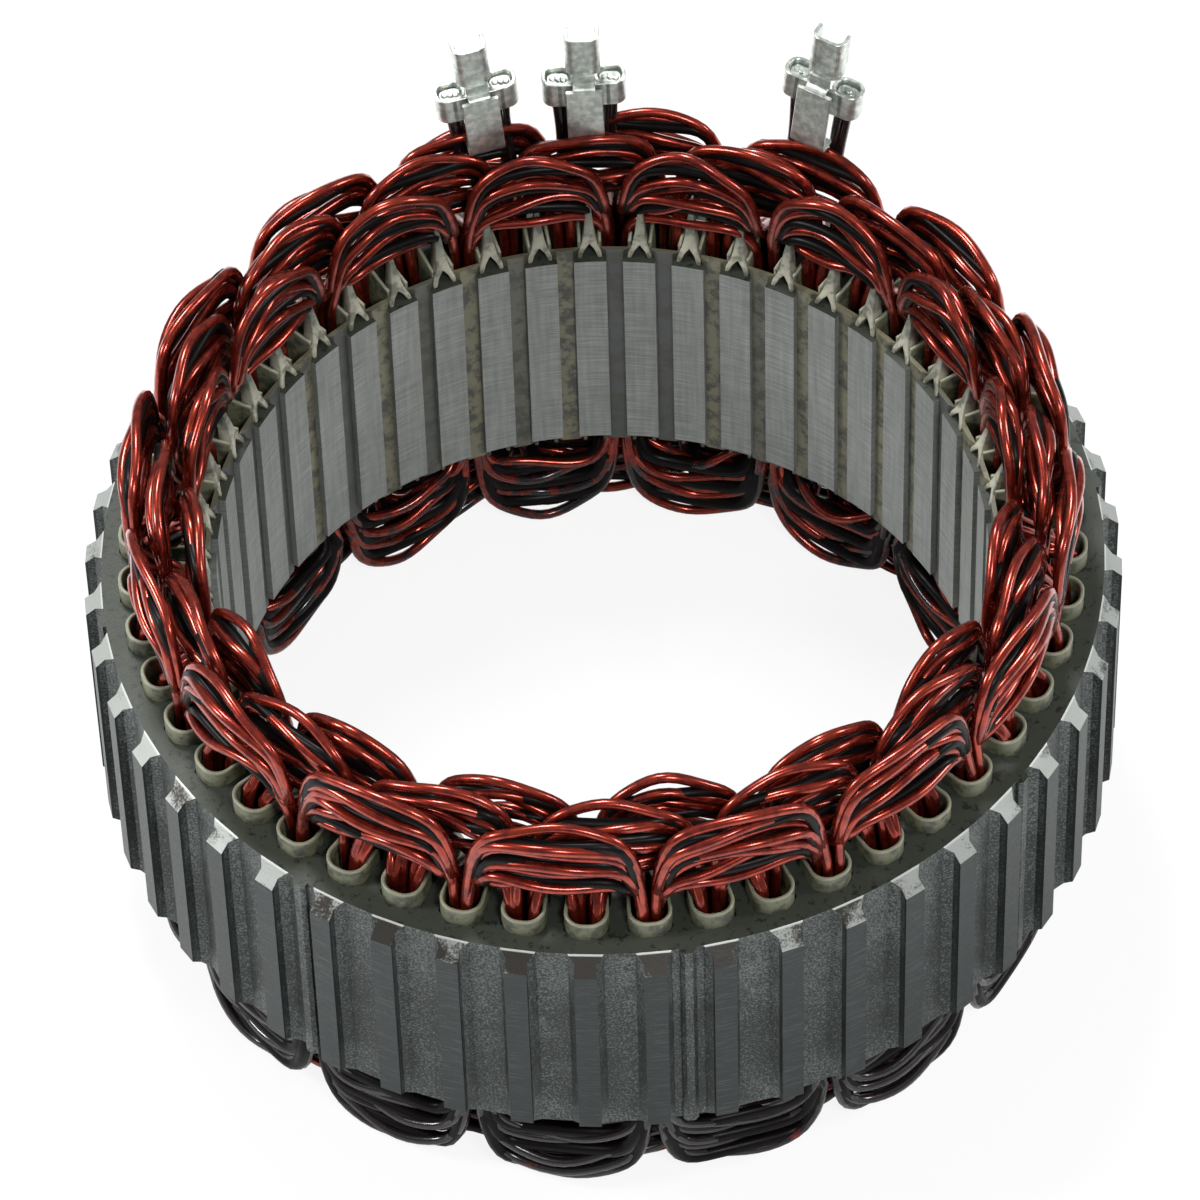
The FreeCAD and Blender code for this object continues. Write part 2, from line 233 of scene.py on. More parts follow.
def grow(
    name: str,
    tree: bpy.types.NodeTree,
    values: dict[str, object],
    base: bpy.types.Mesh | None = None,
) -> bpy.types.Object:
    """Run a geometry tree and keep its result as a plain mesh object.

    Args:
        name: the piece's name.
        tree: the tree to run.
        values: the tree's inputs by name.
        base: the mesh that the tree starts from, if it takes one.

    Returns:
        The finished piece.
    """
    carrier = bpy.data.objects.new(name + "_grown", base or bpy.data.meshes.new(name + "_seed"))
    bpy.context.scene.collection.objects.link(carrier)
    modifier = carrier.modifiers.new("tree", "NODES")
    modifier.node_group = tree
    for item in tree.interface.items_tree:
        if item.in_out == "INPUT" and item.name in values:
            modifier[item.identifier] = values[item.name]
    graph = bpy.context.evaluated_depsgraph_get()
    mesh = bpy.data.meshes.new_from_object(carrier.evaluated_get(graph))
    carrier.modifiers.remove(modifier)
    bpy.data.objects.remove(carrier)
    mesh.name = name
    return stand_mesh(name, mesh)


# ---- finishes -----------------------------------------------------------------------------------


class Shader(TreeMaker):
    """A material's node tree under construction, read in millimetres of the piece's own space."""

    def __init__(self, name: str) -> None:
        """Start a Principled material.

        Args:
            name: the material's name.
        """
        self.material = bpy.data.materials.new(name)
        self.material.use_nodes = True
        super().__init__(self.material.node_tree)
        self.surface = self.first("BSDF_PRINCIPLED")
        self.place = self.node("ShaderNodeTexCoord").outputs["Object"]

    def first(self, kind: str) -> bpy.types.Node:
        """The first node of a kind in the material."""
        return next(node for node in self.tree.nodes if node.type == kind)

    def axes(self) -> tuple[Number, Number, Number]:
        """The place's three coordinates, in millimetres."""
        parts = self.node("ShaderNodeSeparateXYZ", Vector=self.place)
        return tuple(Number(self.tree, socket) / MM for socket in parts.outputs)

    def facing_up(self) -> Number:
        """The upward part of the surface's own direction."""
        normal = self.node("ShaderNodeNewGeometry").outputs["Normal"]
        return self.result(self.node("ShaderNodeSeparateXYZ", Vector=normal), "Z")

    def noise(self, size_mm: float, detail: float = 3.0, squash: Axes = EVEN) -> Number:
        """A noise pattern with features of about the given size.

        Args:
            size_mm: the size of its features.
            detail: how many finer layers it has.
            squash: how much finer it runs along each axis.

        Returns:
            The pattern, about 0 to 1.
        """
        mapping = self.node("ShaderNodeMapping", Vector=self.place)
        mapping.inputs["Scale"].default_value = squash
        pattern = self.node("ShaderNodeTexNoise", Vector=mapping.outputs[0])
        pattern.inputs["Scale"].default_value = 1.0 / (size_mm * MM)
        pattern.inputs["Detail"].default_value = detail
        return self.result(pattern)

    def blend(
        self,
        share: Number,
        first: "bpy.types.NodeSocket | Colour",
        second: "bpy.types.NodeSocket | Colour",
    ) -> bpy.types.NodeSocket:
        """Mix two colours.

        Args:
            share: 0 for the first colour, 1 for the second.
            first: a colour or a colour socket.
            second: a colour or a colour socket.

        Returns:
            The mixed colour.
        """
        mix = self.tree.nodes.new("ShaderNodeMix")
        mix.data_type = "RGBA"
        self.tree.links.new(share.socket, mix.inputs[0])
        for place, colour in zip(MIX_COLOURS, (first, second)):
            if isinstance(colour, tuple):
                mix.inputs[place].default_value = (*colour, 1.0)
            else:
                self.tree.links.new(colour, mix.inputs[place])
        return mix.outputs[MIX_RESULT]

    def colour(self, socket: bpy.types.NodeSocket) -> None:
        """Use a colour socket as the base colour."""
        self.tree.links.new(socket, self.surface.inputs["Base Color"])

    def one_colour(self, colour: Colour) -> None:
        """Set the base colour to one colour all over."""
        self.surface.inputs["Base Color"].default_value = (*colour, 1.0)

    def roughness(self, number: Number) -> None:
        """Use a number as the roughness."""
        self.tree.links.new(number.socket, self.surface.inputs["Roughness"])

    def metallic(self, number: Number) -> None:
        """Use a number as the metallic share."""
        self.tree.links.new(number.socket, self.surface.inputs["Metallic"])

    def bump(self, height: Number, depth_mm: float) -> None:
        """Roughen the surface.

        Args:
            height: the pattern, 0 to 1.
            depth_mm: how deep it goes.
        """
        node = self.node("ShaderNodeBump", Height=height.socket)
        node.inputs["Distance"].default_value = depth_mm * MM
        node.inputs["Strength"].default_value = 1.0
        self.tree.links.new(node.outputs[0], self.surface.inputs["Normal"])

    def set(self, **values: float) -> None:
        """Set constants on the shader's own sockets, by name with spaces as underscores."""
        for name, value in values.items():
            self.surface.inputs[name.replace("_", " ")].default_value = value


class Varnish(Enum):
    """How much dark varnish lies on the wires."""

    CLEAR = 0.08
    STREAKED = 0.45
    HEAVY = 0.8


@dataclass(frozen=True)
class EnamelledWire:
    """Red enamel over copper, with dark impregnating varnish between and on the wires."""

    name: str
    varnish: Varnish
    enamel: Colour = (0.27, 0.030, 0.014)
    shade: Colour = (0.13, 0.012, 0.009)
    dark: Colour = (0.010, 0.008, 0.009)
    patch_mm: float = 9.0
    streak_mm: float = 1.6
    bare_level: float = 0.78
    level_range: float = 0.56
    patch_edge: float = 0.07
    copper_share: float = 0.8
    run_depth_mm: float = 0.03

    def material(self) -> bpy.types.Material:
        """Build the material.

        Returns:
            The material.
        """
        shader = Shader(self.name)
        patches = shader.noise(self.patch_mm, detail=4.0)
        streaks = shader.noise(self.streak_mm)
        red = shader.blend(streaks.step(0.35, 0.7), self.enamel, self.shade)
        level = self.bare_level - self.level_range * self.varnish.value
        pattern = patches * 0.7 + streaks * 0.3
        cover = pattern.step(level - self.patch_edge, level + self.patch_edge)
        shader.colour(shader.blend(cover, red, self.dark))
        shader.metallic(cover.faded() * self.copper_share)
        shader.roughness(streaks * 0.12 + 0.2)
        shader.set(Coat_Weight=0.4, Coat_Roughness=0.12, Specular_IOR_Level=0.3)
        shader.bump(patches, self.run_depth_mm)
        return shader.material


@dataclass(frozen=True)
class VarnishAndShadeFill:
    """Dark impregnating varnish that fills the gaps between the wires, made near-black as painted
    shade for the deep shadow between and behind the arches.
    """

    dark: Colour = (0.004, 0.003, 0.003)
    ripple_mm: float = 1.2

    def material(self) -> bpy.types.Material:
        """Build the material.

        Returns:
            The material.
        """
        shader = Shader("varnish_pool")
        shader.one_colour(self.dark)
        shader.roughness(shader.noise(self.ripple_mm) * 0.3 + 0.2)
        shader.set(Specular_IOR_Level=0.1)
        return shader.material


@dataclass(frozen=True)
class StackSteel:
    """The stack's zones: varnished ends, bevels of wear and painted reflection with a painted rim
    highlight, scratched ribs, grainy grooves with painted light at both ends, bore.
    """

    end_face: Colour = (0.034, 0.039, 0.030)
    end_dirt: Colour = (0.012, 0.013, 0.011)
    # Bevel colours: partly worn steel, partly painted reflection.
    bevel_bright: Colour = (0.27, 0.285, 0.27)
    bevel_brown: Colour = (0.026, 0.023, 0.019)
    # Painted highlight: the bright colour of the line along the bevel's rim.
    rim: Colour = (0.42, 0.44, 0.42)
    rib: Colour = (0.014, 0.018, 0.018)
    rib_light: Colour = (0.045, 0.054, 0.052)
    groove: Colour = (0.015, 0.019, 0.018)
    groove_grain: Colour = (0.125, 0.142, 0.135)
    tooth: Colour = (0.20, 0.215, 0.205)
    tooth_light: Colour = (0.33, 0.345, 0.335)
    grain_mm: float = 0.32
    blotch_mm: float = 7.0
    dot_mm: float = 1.3
    sheet_mm: float = 3.0
    sheet_squash: Axes = (0.5, 0.5, 20.0)
    polish_mm: float = 2.0
    polish_squash: Axes = (3.0, 3.0, 0.2)
    scratch_mm: float = 2.2
    scratch_squash: Axes = (0.5, 0.5, 9.0)
    rib_skin: Point = (0.5, 0.3)
    bore_skin: Point = (2.0, 3.0)
    rim_highlight_band: Point = (-0.26, -0.14)
    # Painted light: the grooves pale over these distances from the top and the foot.
    painted_light_top: Point = (26.0, 4.0)
    painted_light_foot: float = 9.0
    sloped_facing: Point = (0.35, 0.92)
    level_facing: float = 0.97
    facing_soft: float = 0.05
    metal_share: float = 0.35
    sheet_depth_mm: float = 0.05

    def material(self, layout: "Layout") -> bpy.types.Material:
        """Build the material.

        Args:
            layout: the stator's main sizes, which bound the zones.

        Returns:
            The material.
        """
        shader = Shader("stack_steel")
        x, y, z = shader.axes()
        radius = (x * x + y * y).math("SQRT")
        up = shader.facing_up().math("ABSOLUTE")
        grain = shader.noise(self.grain_mm, detail=2.0)
        blotch = shader.noise(self.blotch_mm, detail=4.0)
        sheets = shader.noise(self.sheet_mm, squash=self.sheet_squash)
        polish = shader.noise(self.polish_mm, detail=2.0, squash=self.polish_squash)
        lines = sheets * 0.7 + polish * 0.3
        scratch = shader.noise(self.scratch_mm, squash=self.scratch_squash)

        # Outside: scratched ribs, and grooves whose grain grows paler towards both ends as painted
        # light.
        rib = shader.blend(scratch.step(0.5, 0.75), self.rib, self.rib_light)
        top_painted_light = z.step(layout.top - self.painted_light_top[0], layout.top - self.painted_light_top[1])
        rise = top_painted_light + z.step(layout.base + self.painted_light_foot, layout.base) * 0.7
        grain_and_painted_light = (grain * 0.85 + blotch * 0.25 + rise * 0.07).step(0.5, 0.82)
        groove = shader.blend(grain_and_painted_light, self.groove, self.groove_grain)
        skin_in, skin_out = (layout.outer_radius - depth for depth in self.rib_skin)
        outer = shader.blend(radius.step(skin_in, skin_out), groove, rib)
        # Bore: ground teeth with the sheets' fine lines.
        tooth = shader.blend(lines.step(0.36, 0.68), self.tooth, self.tooth_light)
        face_in, face_out = (layout.bore_radius + depth for depth in self.bore_skin)
        side = shader.blend(radius.step(face_in, face_out), tooth, outer)
        # Bevels: bright or brown in patches and brighter towards the left and right, partly wear and
        # partly painted reflection, with a painted highlight along the rim.
        # Painted reflection: the bevels grow brighter towards the left and right sides.
        aside = x.math("ABSOLUTE") / layout.outer_radius
        wear_and_reflection = blotch * 0.9 + grain * 0.25 + aside * 0.3
        worn_and_reflecting = shader.blend(wear_and_reflection.step(0.66, 0.8), self.bevel_brown, self.bevel_bright)
        # Painted highlight: a bright line just under the top, along the rim.
        bevel = shader.blend((z - layout.top).step(*self.rim_highlight_band), worn_and_reflecting, self.rim)
        # Ends: varnish with dark dots. How far up the surface faces chooses among the zones.
        dots = (shader.noise(self.dot_mm, detail=2.0) * 0.7 + grain * 0.3).step(0.44, 0.36)
        end = shader.blend(dots, self.end_face, self.end_dirt)
        sloped = up.between(*self.sloped_facing, self.facing_soft)
        level = up.step(self.sloped_facing[1], self.level_facing)
        shader.colour(shader.blend(level, shader.blend(sloped, side, bevel), end))
        shader.metallic(level.faded() * self.metal_share)
        shader.set(Specular_IOR_Level=0.32)
        shader.roughness(grain * 0.25 + scratch * 0.15 + 0.3)
        shader.bump(grain * 0.6 + lines * 0.4, self.sheet_depth_mm)
        return shader.material


@dataclass(frozen=True)
class SheetInsulation:
    """Varnished insulating sheet with a second colour over its top: a paler cut edge on liners and
    closers, darker tips on the cuffs; some strips may differ.
    """

    name: str
    body: Colour
    edge: Colour
    dirt: Colour
    edge_height_mm: float
    other: Colour | None = None
    edge_soft_mm: float = 0.5
    blotch_mm: float = 2.4
    fleck_mm: float = 0.7
    fibre_mm: float = 0.6
    fibre_depth_mm: float = 0.04

    def strip_body(self, shader: Shader, x: Number, y: Number) -> "bpy.types.NodeSocket | Colour":
        """The sheet's main colour, which may differ from slot to slot.

        Args:
            shader: the material under construction.
            x: the place's first coordinate.
            y: the place's second coordinate.

        Returns:
            A colour, or a colour socket.
        """
        if not self.other:
            return self.body
        slot = (y.math("ARCTAN2", x) / (FULL_TURN / SLOTS)).math("ROUND")
        chance = shader.node("ShaderNodeTexWhiteNoise")
        chance.noise_dimensions = "1D"
        shader.tree.links.new(slot.socket, chance.inputs["W"])
        return shader.blend(shader.result(chance, "Value").step(0.35, 0.65), self.body, self.other)

    def material(self) -> bpy.types.Material:
        """Build the material.

        Returns:
            The material.
        """
        shader = Shader(self.name)
        x, y, z = shader.axes()
        blotch = shader.noise(self.blotch_mm, detail=4.0)
        rim = z.step(self.edge_height_mm - self.edge_soft_mm, self.edge_height_mm)
        body = self.strip_body(shader, x, y)
        dirt = (blotch * 0.7 + shader.noise(self.fleck_mm) * 0.3).step(0.44, 0.6)
        base = shader.blend(dirt, body, self.dirt)
        shader.colour(shader.blend(rim * 0.7, base, self.edge))
        shader.roughness(blotch * 0.3 + 0.3)
        shader.bump(shader.noise(self.fibre_mm), self.fibre_depth_mm)
        shader.set(Coat_Weight=0.2, Coat_Roughness=0.3)
        return shader.material


@dataclass(frozen=True)
class TinnedStrip:
    """Tin-plated strip, dull and slightly mottled."""

    plate: Colour = (0.34, 0.37, 0.35)
    light: Colour = (0.60, 0.63, 0.58)
    mottle_mm: float = 1.1
    grain_mm: float = 0.5
    grain_depth_mm: float = 0.02

    def material(self) -> bpy.types.Material:
        """Build the material.

        Returns:
            The material.
        """
        shader = Shader("tinned_strip")
        mottle = shader.noise(self.mottle_mm, detail=4.0)
        shader.colour(shader.blend(mottle.step(0.35, 0.7), self.plate, self.light))
        shader.set(Metallic=0.75)
        shader.roughness(mottle * 0.25 + 0.25)
        shader.bump(shader.noise(self.grain_mm, detail=2.0), self.grain_depth_mm)
        return shader.material


@dataclass(frozen=True)
class PaleBackdrop:
    """A white floor that keeps the object's soft shadow."""

    white: Colour = (0.9, 0.9, 0.9)
    glow_share: float = 0.88

    def material(self) -> bpy.types.Material:
        """Build the material.

        Returns:
            The material.
        """
        shader = Shader("pale_floor")
        shader.set(Roughness=0.9, Specular_IOR_Level=0.1)
        shader.one_colour(self.white)
        glow = shader.node("ShaderNodeEmission")
        glow.inputs["Strength"].default_value = 1.0
        seen = shader.result(shader.node("ShaderNodeLightPath"), "Is Camera Ray")
        mix = shader.node("ShaderNodeMixShader")
        output = shader.first("OUTPUT_MATERIAL")
        for socket, place in (
            ((seen * self.glow_share).socket, mix.inputs[0]),
            (shader.surface.outputs[0], mix.inputs[1]),
            (glow.outputs[0], mix.inputs[2]),
            (mix.outputs[0], output.inputs["Surface"]),
        ):
            shader.tree.links.new(socket, place)
        return shader.material


# ---- layout -------------------------------------------------------------------------------------


@dataclass(frozen=True)
class Layout:
    """The stator's main sizes, read from the frame, in millimetres."""

    outer_radius: float
    bore_radius: float
    base: float
    top: float
    lowest: float
    slots: int = SLOTS
    coil_pitch: int = 3
    tooth_width: float = 2.5

    @classmethod
    def from_frame(cls, record: dict) -> "Layout":
        """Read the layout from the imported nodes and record.

        Args:
            record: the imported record.

        Returns:
            The layout.
        """
        low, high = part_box("lamination_stack")
        bore = next(m for m in record["mounts"] if m["name"] == "rotor_bore")
        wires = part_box("phase_winding_a")
        return cls(high.x / MM, bore["dims"]["r_mm"], low.z / MM, high.z / MM, wires[0].z / MM)

    @property
    def pitch(self) -> float:
        """Angle from slot to slot, in radians."""
        return FULL_TURN / self.slots

    @property
    def first_angle(self) -> float:
        """Angle of slot 0 from the X axis, in radians."""
        return -math.pi / 2.0

    def half_slot(self, radius: float) -> float:
        """Half a slot's width at a radius, between parallel-sided teeth."""
        return radius * math.tan(self.pitch / 2.0) - self.tooth_width / 2.0


# ---- mesh making --------------------------------------------------------------------------------


def stand_mesh(name: str, mesh: bpy.types.Mesh) -> bpy.types.Object:
    """Put a mesh in the scene as an object at the origin.

    Args:
        name: the object's name.
        mesh: the mesh, with its place in it.

    Returns:
        The object.
    """
    piece = bpy.data.objects.new(name, mesh)
    bpy.context.scene.collection.objects.link(piece)
    return piece


def take_mesh(name: str, build: bmesh.types.BMesh, smooth: bool = True) -> bpy.types.Mesh:
    """Turn a bmesh in millimetres into a mesh in metres.

    Args:
        name: the mesh's name.
        build: the bmesh, freed here.
        smooth: whether faces are shaded smooth.

    Returns:
        The mesh.
    """
    bmesh.ops.recalc_face_normals(build, faces=build.faces)
    bmesh.ops.scale(build, vec=(MM, MM, MM), verts=build.verts)
    for face in build.faces:
        face.smooth = smooth
    mesh = bpy.data.meshes.new(name)
    build.to_mesh(mesh)
    build.free()
    return mesh


def hand_over(piece: bpy.types.Object, slot: str, *nodes: str) -> None:
    """Let a finished piece ride on the one body and report it.

    Args:
        piece: the finished piece.
        slot: not used.
        nodes: the nodes that it stands for, if any.
    """
    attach(piece, "root")
    if nodes:
        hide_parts(*nodes)
    LOG.info("%s: %d faces", piece.name, len(piece.data.polygons))


def bridge(build: bmesh.types.BMesh, first: Loop, second: Loop, closed: bool = True) -> None:
    """Join two rows of vertices with quads.

    Args:
        build: the bmesh to add to.
        first: one row.
        second: the other row, of the same length.
        closed: whether the rows close on themselves.
    """
    count = len(first) if closed else len(first) - 1
    for n in range(count):
        m = (n + 1) % len(first)
        build.faces.new((first[n], first[m], second[m], second[n]))


def skin(build: bmesh.types.BMesh, loops: list[Loop]) -> None:
    """Join closed loops one after another and cap both ends.

    Args:
        build: the bmesh to add to.
        loops: the loops, from the foot to the top.
    """
    for first, second in pairwise(loops):
        bridge(build, first, second)
    build.faces.new(list(reversed(loops[0])))
    build.faces.new(loops[-1])


def ring_skin(build: bmesh.types.BMesh, loops: list[Loop], closed: bool = True) -> None:
    """Join loops one after another and the last one to the first.

    Args:
        build: the bmesh to add to.
        loops: the loops, once round a wall's section.
        closed: whether each loop closes on itself.
    """
    for n, loop in enumerate(loops):
        bridge(build, loop, loops[(n + 1) % len(loops)], closed=closed)


def arc(centre: Point, radius: float, start: float, end: float, steps: int = 6) -> list[Point]:
    """Points along an arc, its ends included.

    Args:
        centre: the arc's centre.
        radius: its radius.
        start: the angle of its first point, in degrees.
        end: the angle of its last point, in degrees.
        steps: how many straight runs it has.

    Returns:
        The points.
    """
    points = []
    for n in range(steps + 1):
        angle = math.radians(start + (end - start) * n / steps)
        points.append((centre[0] + radius * math.cos(angle), centre[1] + radius * math.sin(angle)))
    return points


def wall_section(low: float, high: float, wall: float, soft: float) -> tuple[Point, ...]:
    """A wall's rectangular section with softened corners.

    Args:
        low: one end of the section's length.
        high: the other end.
        wall: the wall's thickness.
        soft: the size of the corners' bevel.

    Returns:
        Pairs of depth into the wall and place along its length, once round.
    """
    return (
        (0.0, low + soft),
        (0.0, high - soft),
        (soft, high),
        (wall - soft, high),
        (wall, high - soft),
        (wall, low + soft),
        (wall - soft, low),
        (soft, low),
    )


def inset_loop(points: list[Point], depth: float) -> list[Point]:
    """Move a closed anticlockwise outline inwards.

    Args:
        points: the outline.
        depth: how far it moves.

    Returns:
        The moved outline.
    """
    moved = []
    for n, (x, y) in enumerate(points):
        before, after = points[n - 1], points[(n + 1) % len(points)]
        normals = []
        for a, b in ((before, (x, y)), ((x, y), after)):
            length = math.hypot(b[0] - a[0], b[1] - a[1]) or 1.0
            normals.append((-(b[1] - a[1]) / length, (b[0] - a[0]) / length))
        nx, ny = normals[0][0] + normals[1][0], normals[0][1] + normals[1][1]
        # The lower limit keeps a sharp corner from running far inwards.
        scale = 2.0 / max(nx * nx + ny * ny, 0.5)
        moved.append((x + nx * scale * depth, y + ny * scale * depth))
    return moved


def softened_prism(
    build: bmesh.types.BMesh, outline: list[Point], low: float, high: float, soft: float
) -> None:
    """Add a prism with softened rims.

    Args:
        build: the bmesh to add to.
        outline: an anticlockwise outline.
        low: the prism's foot.
        high: the prism's top.
        soft: the size of the rims' bevel.
    """
    inner = inset_loop(outline, soft)
    rows = ((inner, low), (outline, low + soft), (outline, high - soft), (inner, high))
    skin(build, [[build.verts.new((x, y, z)) for x, y in points] for points, z in rows])


# ---- winding ------------------------------------------------------------------------------------


class End(Enum):
    """The two ends of the stack, by the way that the wires rise from it."""

    UPPER = 1.0
    LOWER = -1.0


@dataclass(frozen=True)
class Row:
    """One phase's row in a winding head: its first slot, radius and the height between wires."""

    phase: str
    first_slot: int
    inner_radius: float
    valley: float


@dataclass(frozen=True)
class Run:
    """How a run of wires fills an arch: count, radius, crests over the end face, slot radii."""

    strands: int
    radius: float
    low: float
    high: float
    scatter: float
    inside: float
    outside: float


class Draw(Enum):
    """The random numbers that each wire has of its own, by their place in its seed."""

    CREST = 1
    SWAY = 2
    SLOT_DEPTH = 3
    TWIST = 4
    ASIDE = 5
    SKEW = 6


@dataclass(frozen=True)
class ArchShape:
    """How the wires of an arch bend and differ, in millimetres and radians."""

    points: int = 27
    sides: int = 8
    crest_spread: float = 1.1
    crest_calm: float = 0.85
    shoulder_power: float = 8.0
    sway_height: float = 1.1
    sway_waves: float = 2.6
    sway_calm: float = 0.8
    skew: float = 2.4
    skew_calm: float = 0.7
    any_phase: float = 3.1
    lean_from: float = 2.2
    lean_until: float = 8.5
    layer_depth: float = 0.6
    twist_depth: float = 0.85
    twist_waves: float = 2.2
    least_twist: float = 0.35
    lowest_inset: float = 0.8
    side_gap: float = 0.68
    side_spread: float = 0.12
    filling_tuck: float = 0.8


class HeadTree(GeometryTree):
    """The tree that lays one phase's wires on one end of the stack, arch after arch."""

    names = (
        "Arches", "Strands", "Row Radius", "Row Thickness", "Slot Inside", "Slot Outside",
        "Low Crest", "High Crest", "Valley", "Base", "Way", "First Angle", "Span", "Depth",
        "Wire Radius", "Scatter",
    )

    def __init__(self, shape: ArchShape) -> None:
        """Add the inputs and number every wire's points.

        Args:
            shape: how the wires of an arch bend and differ.
        """
        super().__init__("phase_head")
        self.shape = shape
        self.sizes = {name: self.number(name) for name in self.names}
        self.seed = self.number("Seed", "NodeSocketInt")
        self.material = self.input("Material", "NodeSocketMaterial")
        strands = self.sizes["Strands"]
        # Half a step before each rounding down keeps a point from falling to its neighbour.
        index = self.result(self.node("GeometryNodeInputIndex"))
        self.strand = ((index + 0.5) / shape.points).math("FLOOR")
        self.along = index - self.strand * shape.points
        self.arch = ((self.strand + 0.5) / strands).math("FLOOR")
        self.order = self.strand - self.arch * strands
        self.share = self.order / (strands - 1.0)
        turn = ((self.along - 1.0) / (shape.points - 3.0) * 2.0 - 1.0).clamped(-1.0, 1.0)
        self.across = (turn * (math.pi / 2.0)).math("SINE")
        self.middle = self.across * self.across * -1.0 + 1.0

    def chance(self, draw: Draw, spread: float) -> Number:
        """A number between -spread and +spread, fixed for each wire.

        Args:
            draw: which of the wire's random numbers it is.
            spread: its largest size.

        Returns:
            The number, times the run's scatter.
        """
        node = self.random(-spread, spread, ID=self.strand.socket)
        self.tree.links.new((self.seed + float(draw.value)).socket, node.inputs["Seed"])
        return self.result(node, RANDOM_RESULT) * self.sizes["Scatter"]

    def height(self) -> Number:
        """Work out each point's height over the end face, its ends down in the slot.

        Returns:
            The height.
        """
        shape, share, across = self.shape, self.share, self.across
        low, high = self.sizes["Low Crest"], self.sizes["High Crest"]
        crest = low + (high - low) * share
        crest = crest + self.chance(Draw.CREST, shape.crest_spread) * share.faded(shape.crest_calm)
        dip = crest * (self.sizes["Valley"] / high)
        dome = dip + (crest - dip) * ((across * math.pi).math("COSINE") * 0.5 + 0.5)
        square = across.math("ABSOLUTE").math("POWER", shape.shoulder_power)
        fall = square.faded().math("MAXIMUM", 0.0).math("SQRT")
        phase = self.chance(Draw.SWAY, shape.any_phase)
        wave = (across * shape.sway_waves + phase).math("SINE")
        sway = wave * self.middle * share.faded(shape.sway_calm) * self.sizes["Scatter"]
        skew = across * self.middle * self.chance(Draw.SKEW, shape.skew)
        skew = skew * share.faded(shape.skew_calm)
        height = dome * fall + sway * shape.sway_height + skew
        half = (shape.points - 1) / 2.0
        outside = (self.along - half).math("ABSOLUTE").math("GREATER_THAN", half - 0.5)
        return height * outside.faded() - outside * self.sizes["Depth"]

    def radius(self, height: Number) -> Number:
        """Work out each point's distance from the axis.

        Args:
            height: the point's height over the end face.

        Returns:
            The distance.
        """
        shape, sizes = self.shape, self.sizes
        lean = height.step(shape.lean_from, shape.lean_until)
        slot_in, slot_out = sizes["Slot Inside"], sizes["Slot Outside"]
        slot_share = self.chance(Draw.SLOT_DEPTH, 0.5) + 0.5
        slot_radius = slot_in + (slot_out - slot_in) * slot_share
        layer = (self.order * 0.5).math("FRACT") * 4.0 - 1.0
        phase = self.chance(Draw.TWIST, shape.any_phase)
        twist = (self.across * shape.twist_waves + phase).math("SINE") * sizes["Scatter"]
        depth = layer * sizes["Scatter"] * shape.layer_depth + twist * shape.twist_depth
        in_row = sizes["Row Radius"] + sizes["Row Thickness"] * 0.5
        in_row = in_row + depth * self.middle.math("MAXIMUM", shape.least_twist)
        return slot_radius + (in_row - slot_radius) * lean

    def angle(self) -> Number:
        """Work out each point's angle about the axis.

        Returns:
            The angle.
        """
        shape, sizes = self.shape, self.sizes
        tucked = sizes["Scatter"].faded() * shape.filling_tuck
        aside = self.share.faded() * shape.lowest_inset + shape.side_gap
        aside = aside + self.chance(Draw.ASIDE, shape.side_spread) + tucked
        half = sizes["Span"] * 0.5 - aside / sizes["Row Radius"]
        return sizes["First Angle"] + (self.arch + 0.5) * sizes["Span"] + self.across * half

    def straight_runs(self) -> bpy.types.NodeSocket:
        """Lay out one straight line of points for every wire.

        Returns:
            The lines' geometry.
        """
        line = self.node("GeometryNodeCurvePrimitiveLine")
        run = self.node("GeometryNodeResampleCurve", Curve=line.outputs[0])
        run.inputs["Count"].default_value = self.shape.points
        total = self.sizes["Arches"] * self.sizes["Strands"]
        stations = self.node("GeometryNodeMeshLine", Count=total.socket)
        placed = self.node(
            "GeometryNodeInstanceOnPoints", Points=stations.outputs[0], Instance=run.outputs[0]
        )
        return self.node("GeometryNodeRealizeInstances", Geometry=placed.outputs[0]).outputs[0]

    def build(self) -> bpy.types.NodeTree:
        """Bend the runs into arches and give them their thickness.

        Returns:
            The finished tree.
        """
        height = self.height()
        radius, angle = self.radius(height), self.angle()
        place = self.node("ShaderNodeCombineXYZ")
        for socket, number in zip(
            place.inputs,
            (
                radius * angle.math("COSINE") * MM,
                radius * angle.math("SINE") * MM,
                (self.sizes["Base"] + self.sizes["Way"] * height) * MM,
            ),
        ):
            self.tree.links.new(number.socket, socket)
        laid = self.node(
            "GeometryNodeSetPosition", Geometry=self.straight_runs(), Position=place.outputs[0]
        )
        wire = (self.sizes["Wire Radius"] * MM).socket
        section = self.node("GeometryNodeCurvePrimitiveCircle", Radius=wire)
        section.inputs["Resolution"].default_value = self.shape.sides
        tubes = self.node(
            "GeometryNodeCurveToMesh", Curve=laid.outputs[0], Profile_Curve=section.outputs[0]
        )
        tubes.inputs["Fill Caps"].default_value = True
        smooth = self.node("GeometryNodeSetShadeSmooth", Geometry=tubes.outputs[0])
        return self.finish(smooth.outputs[0], self.material)


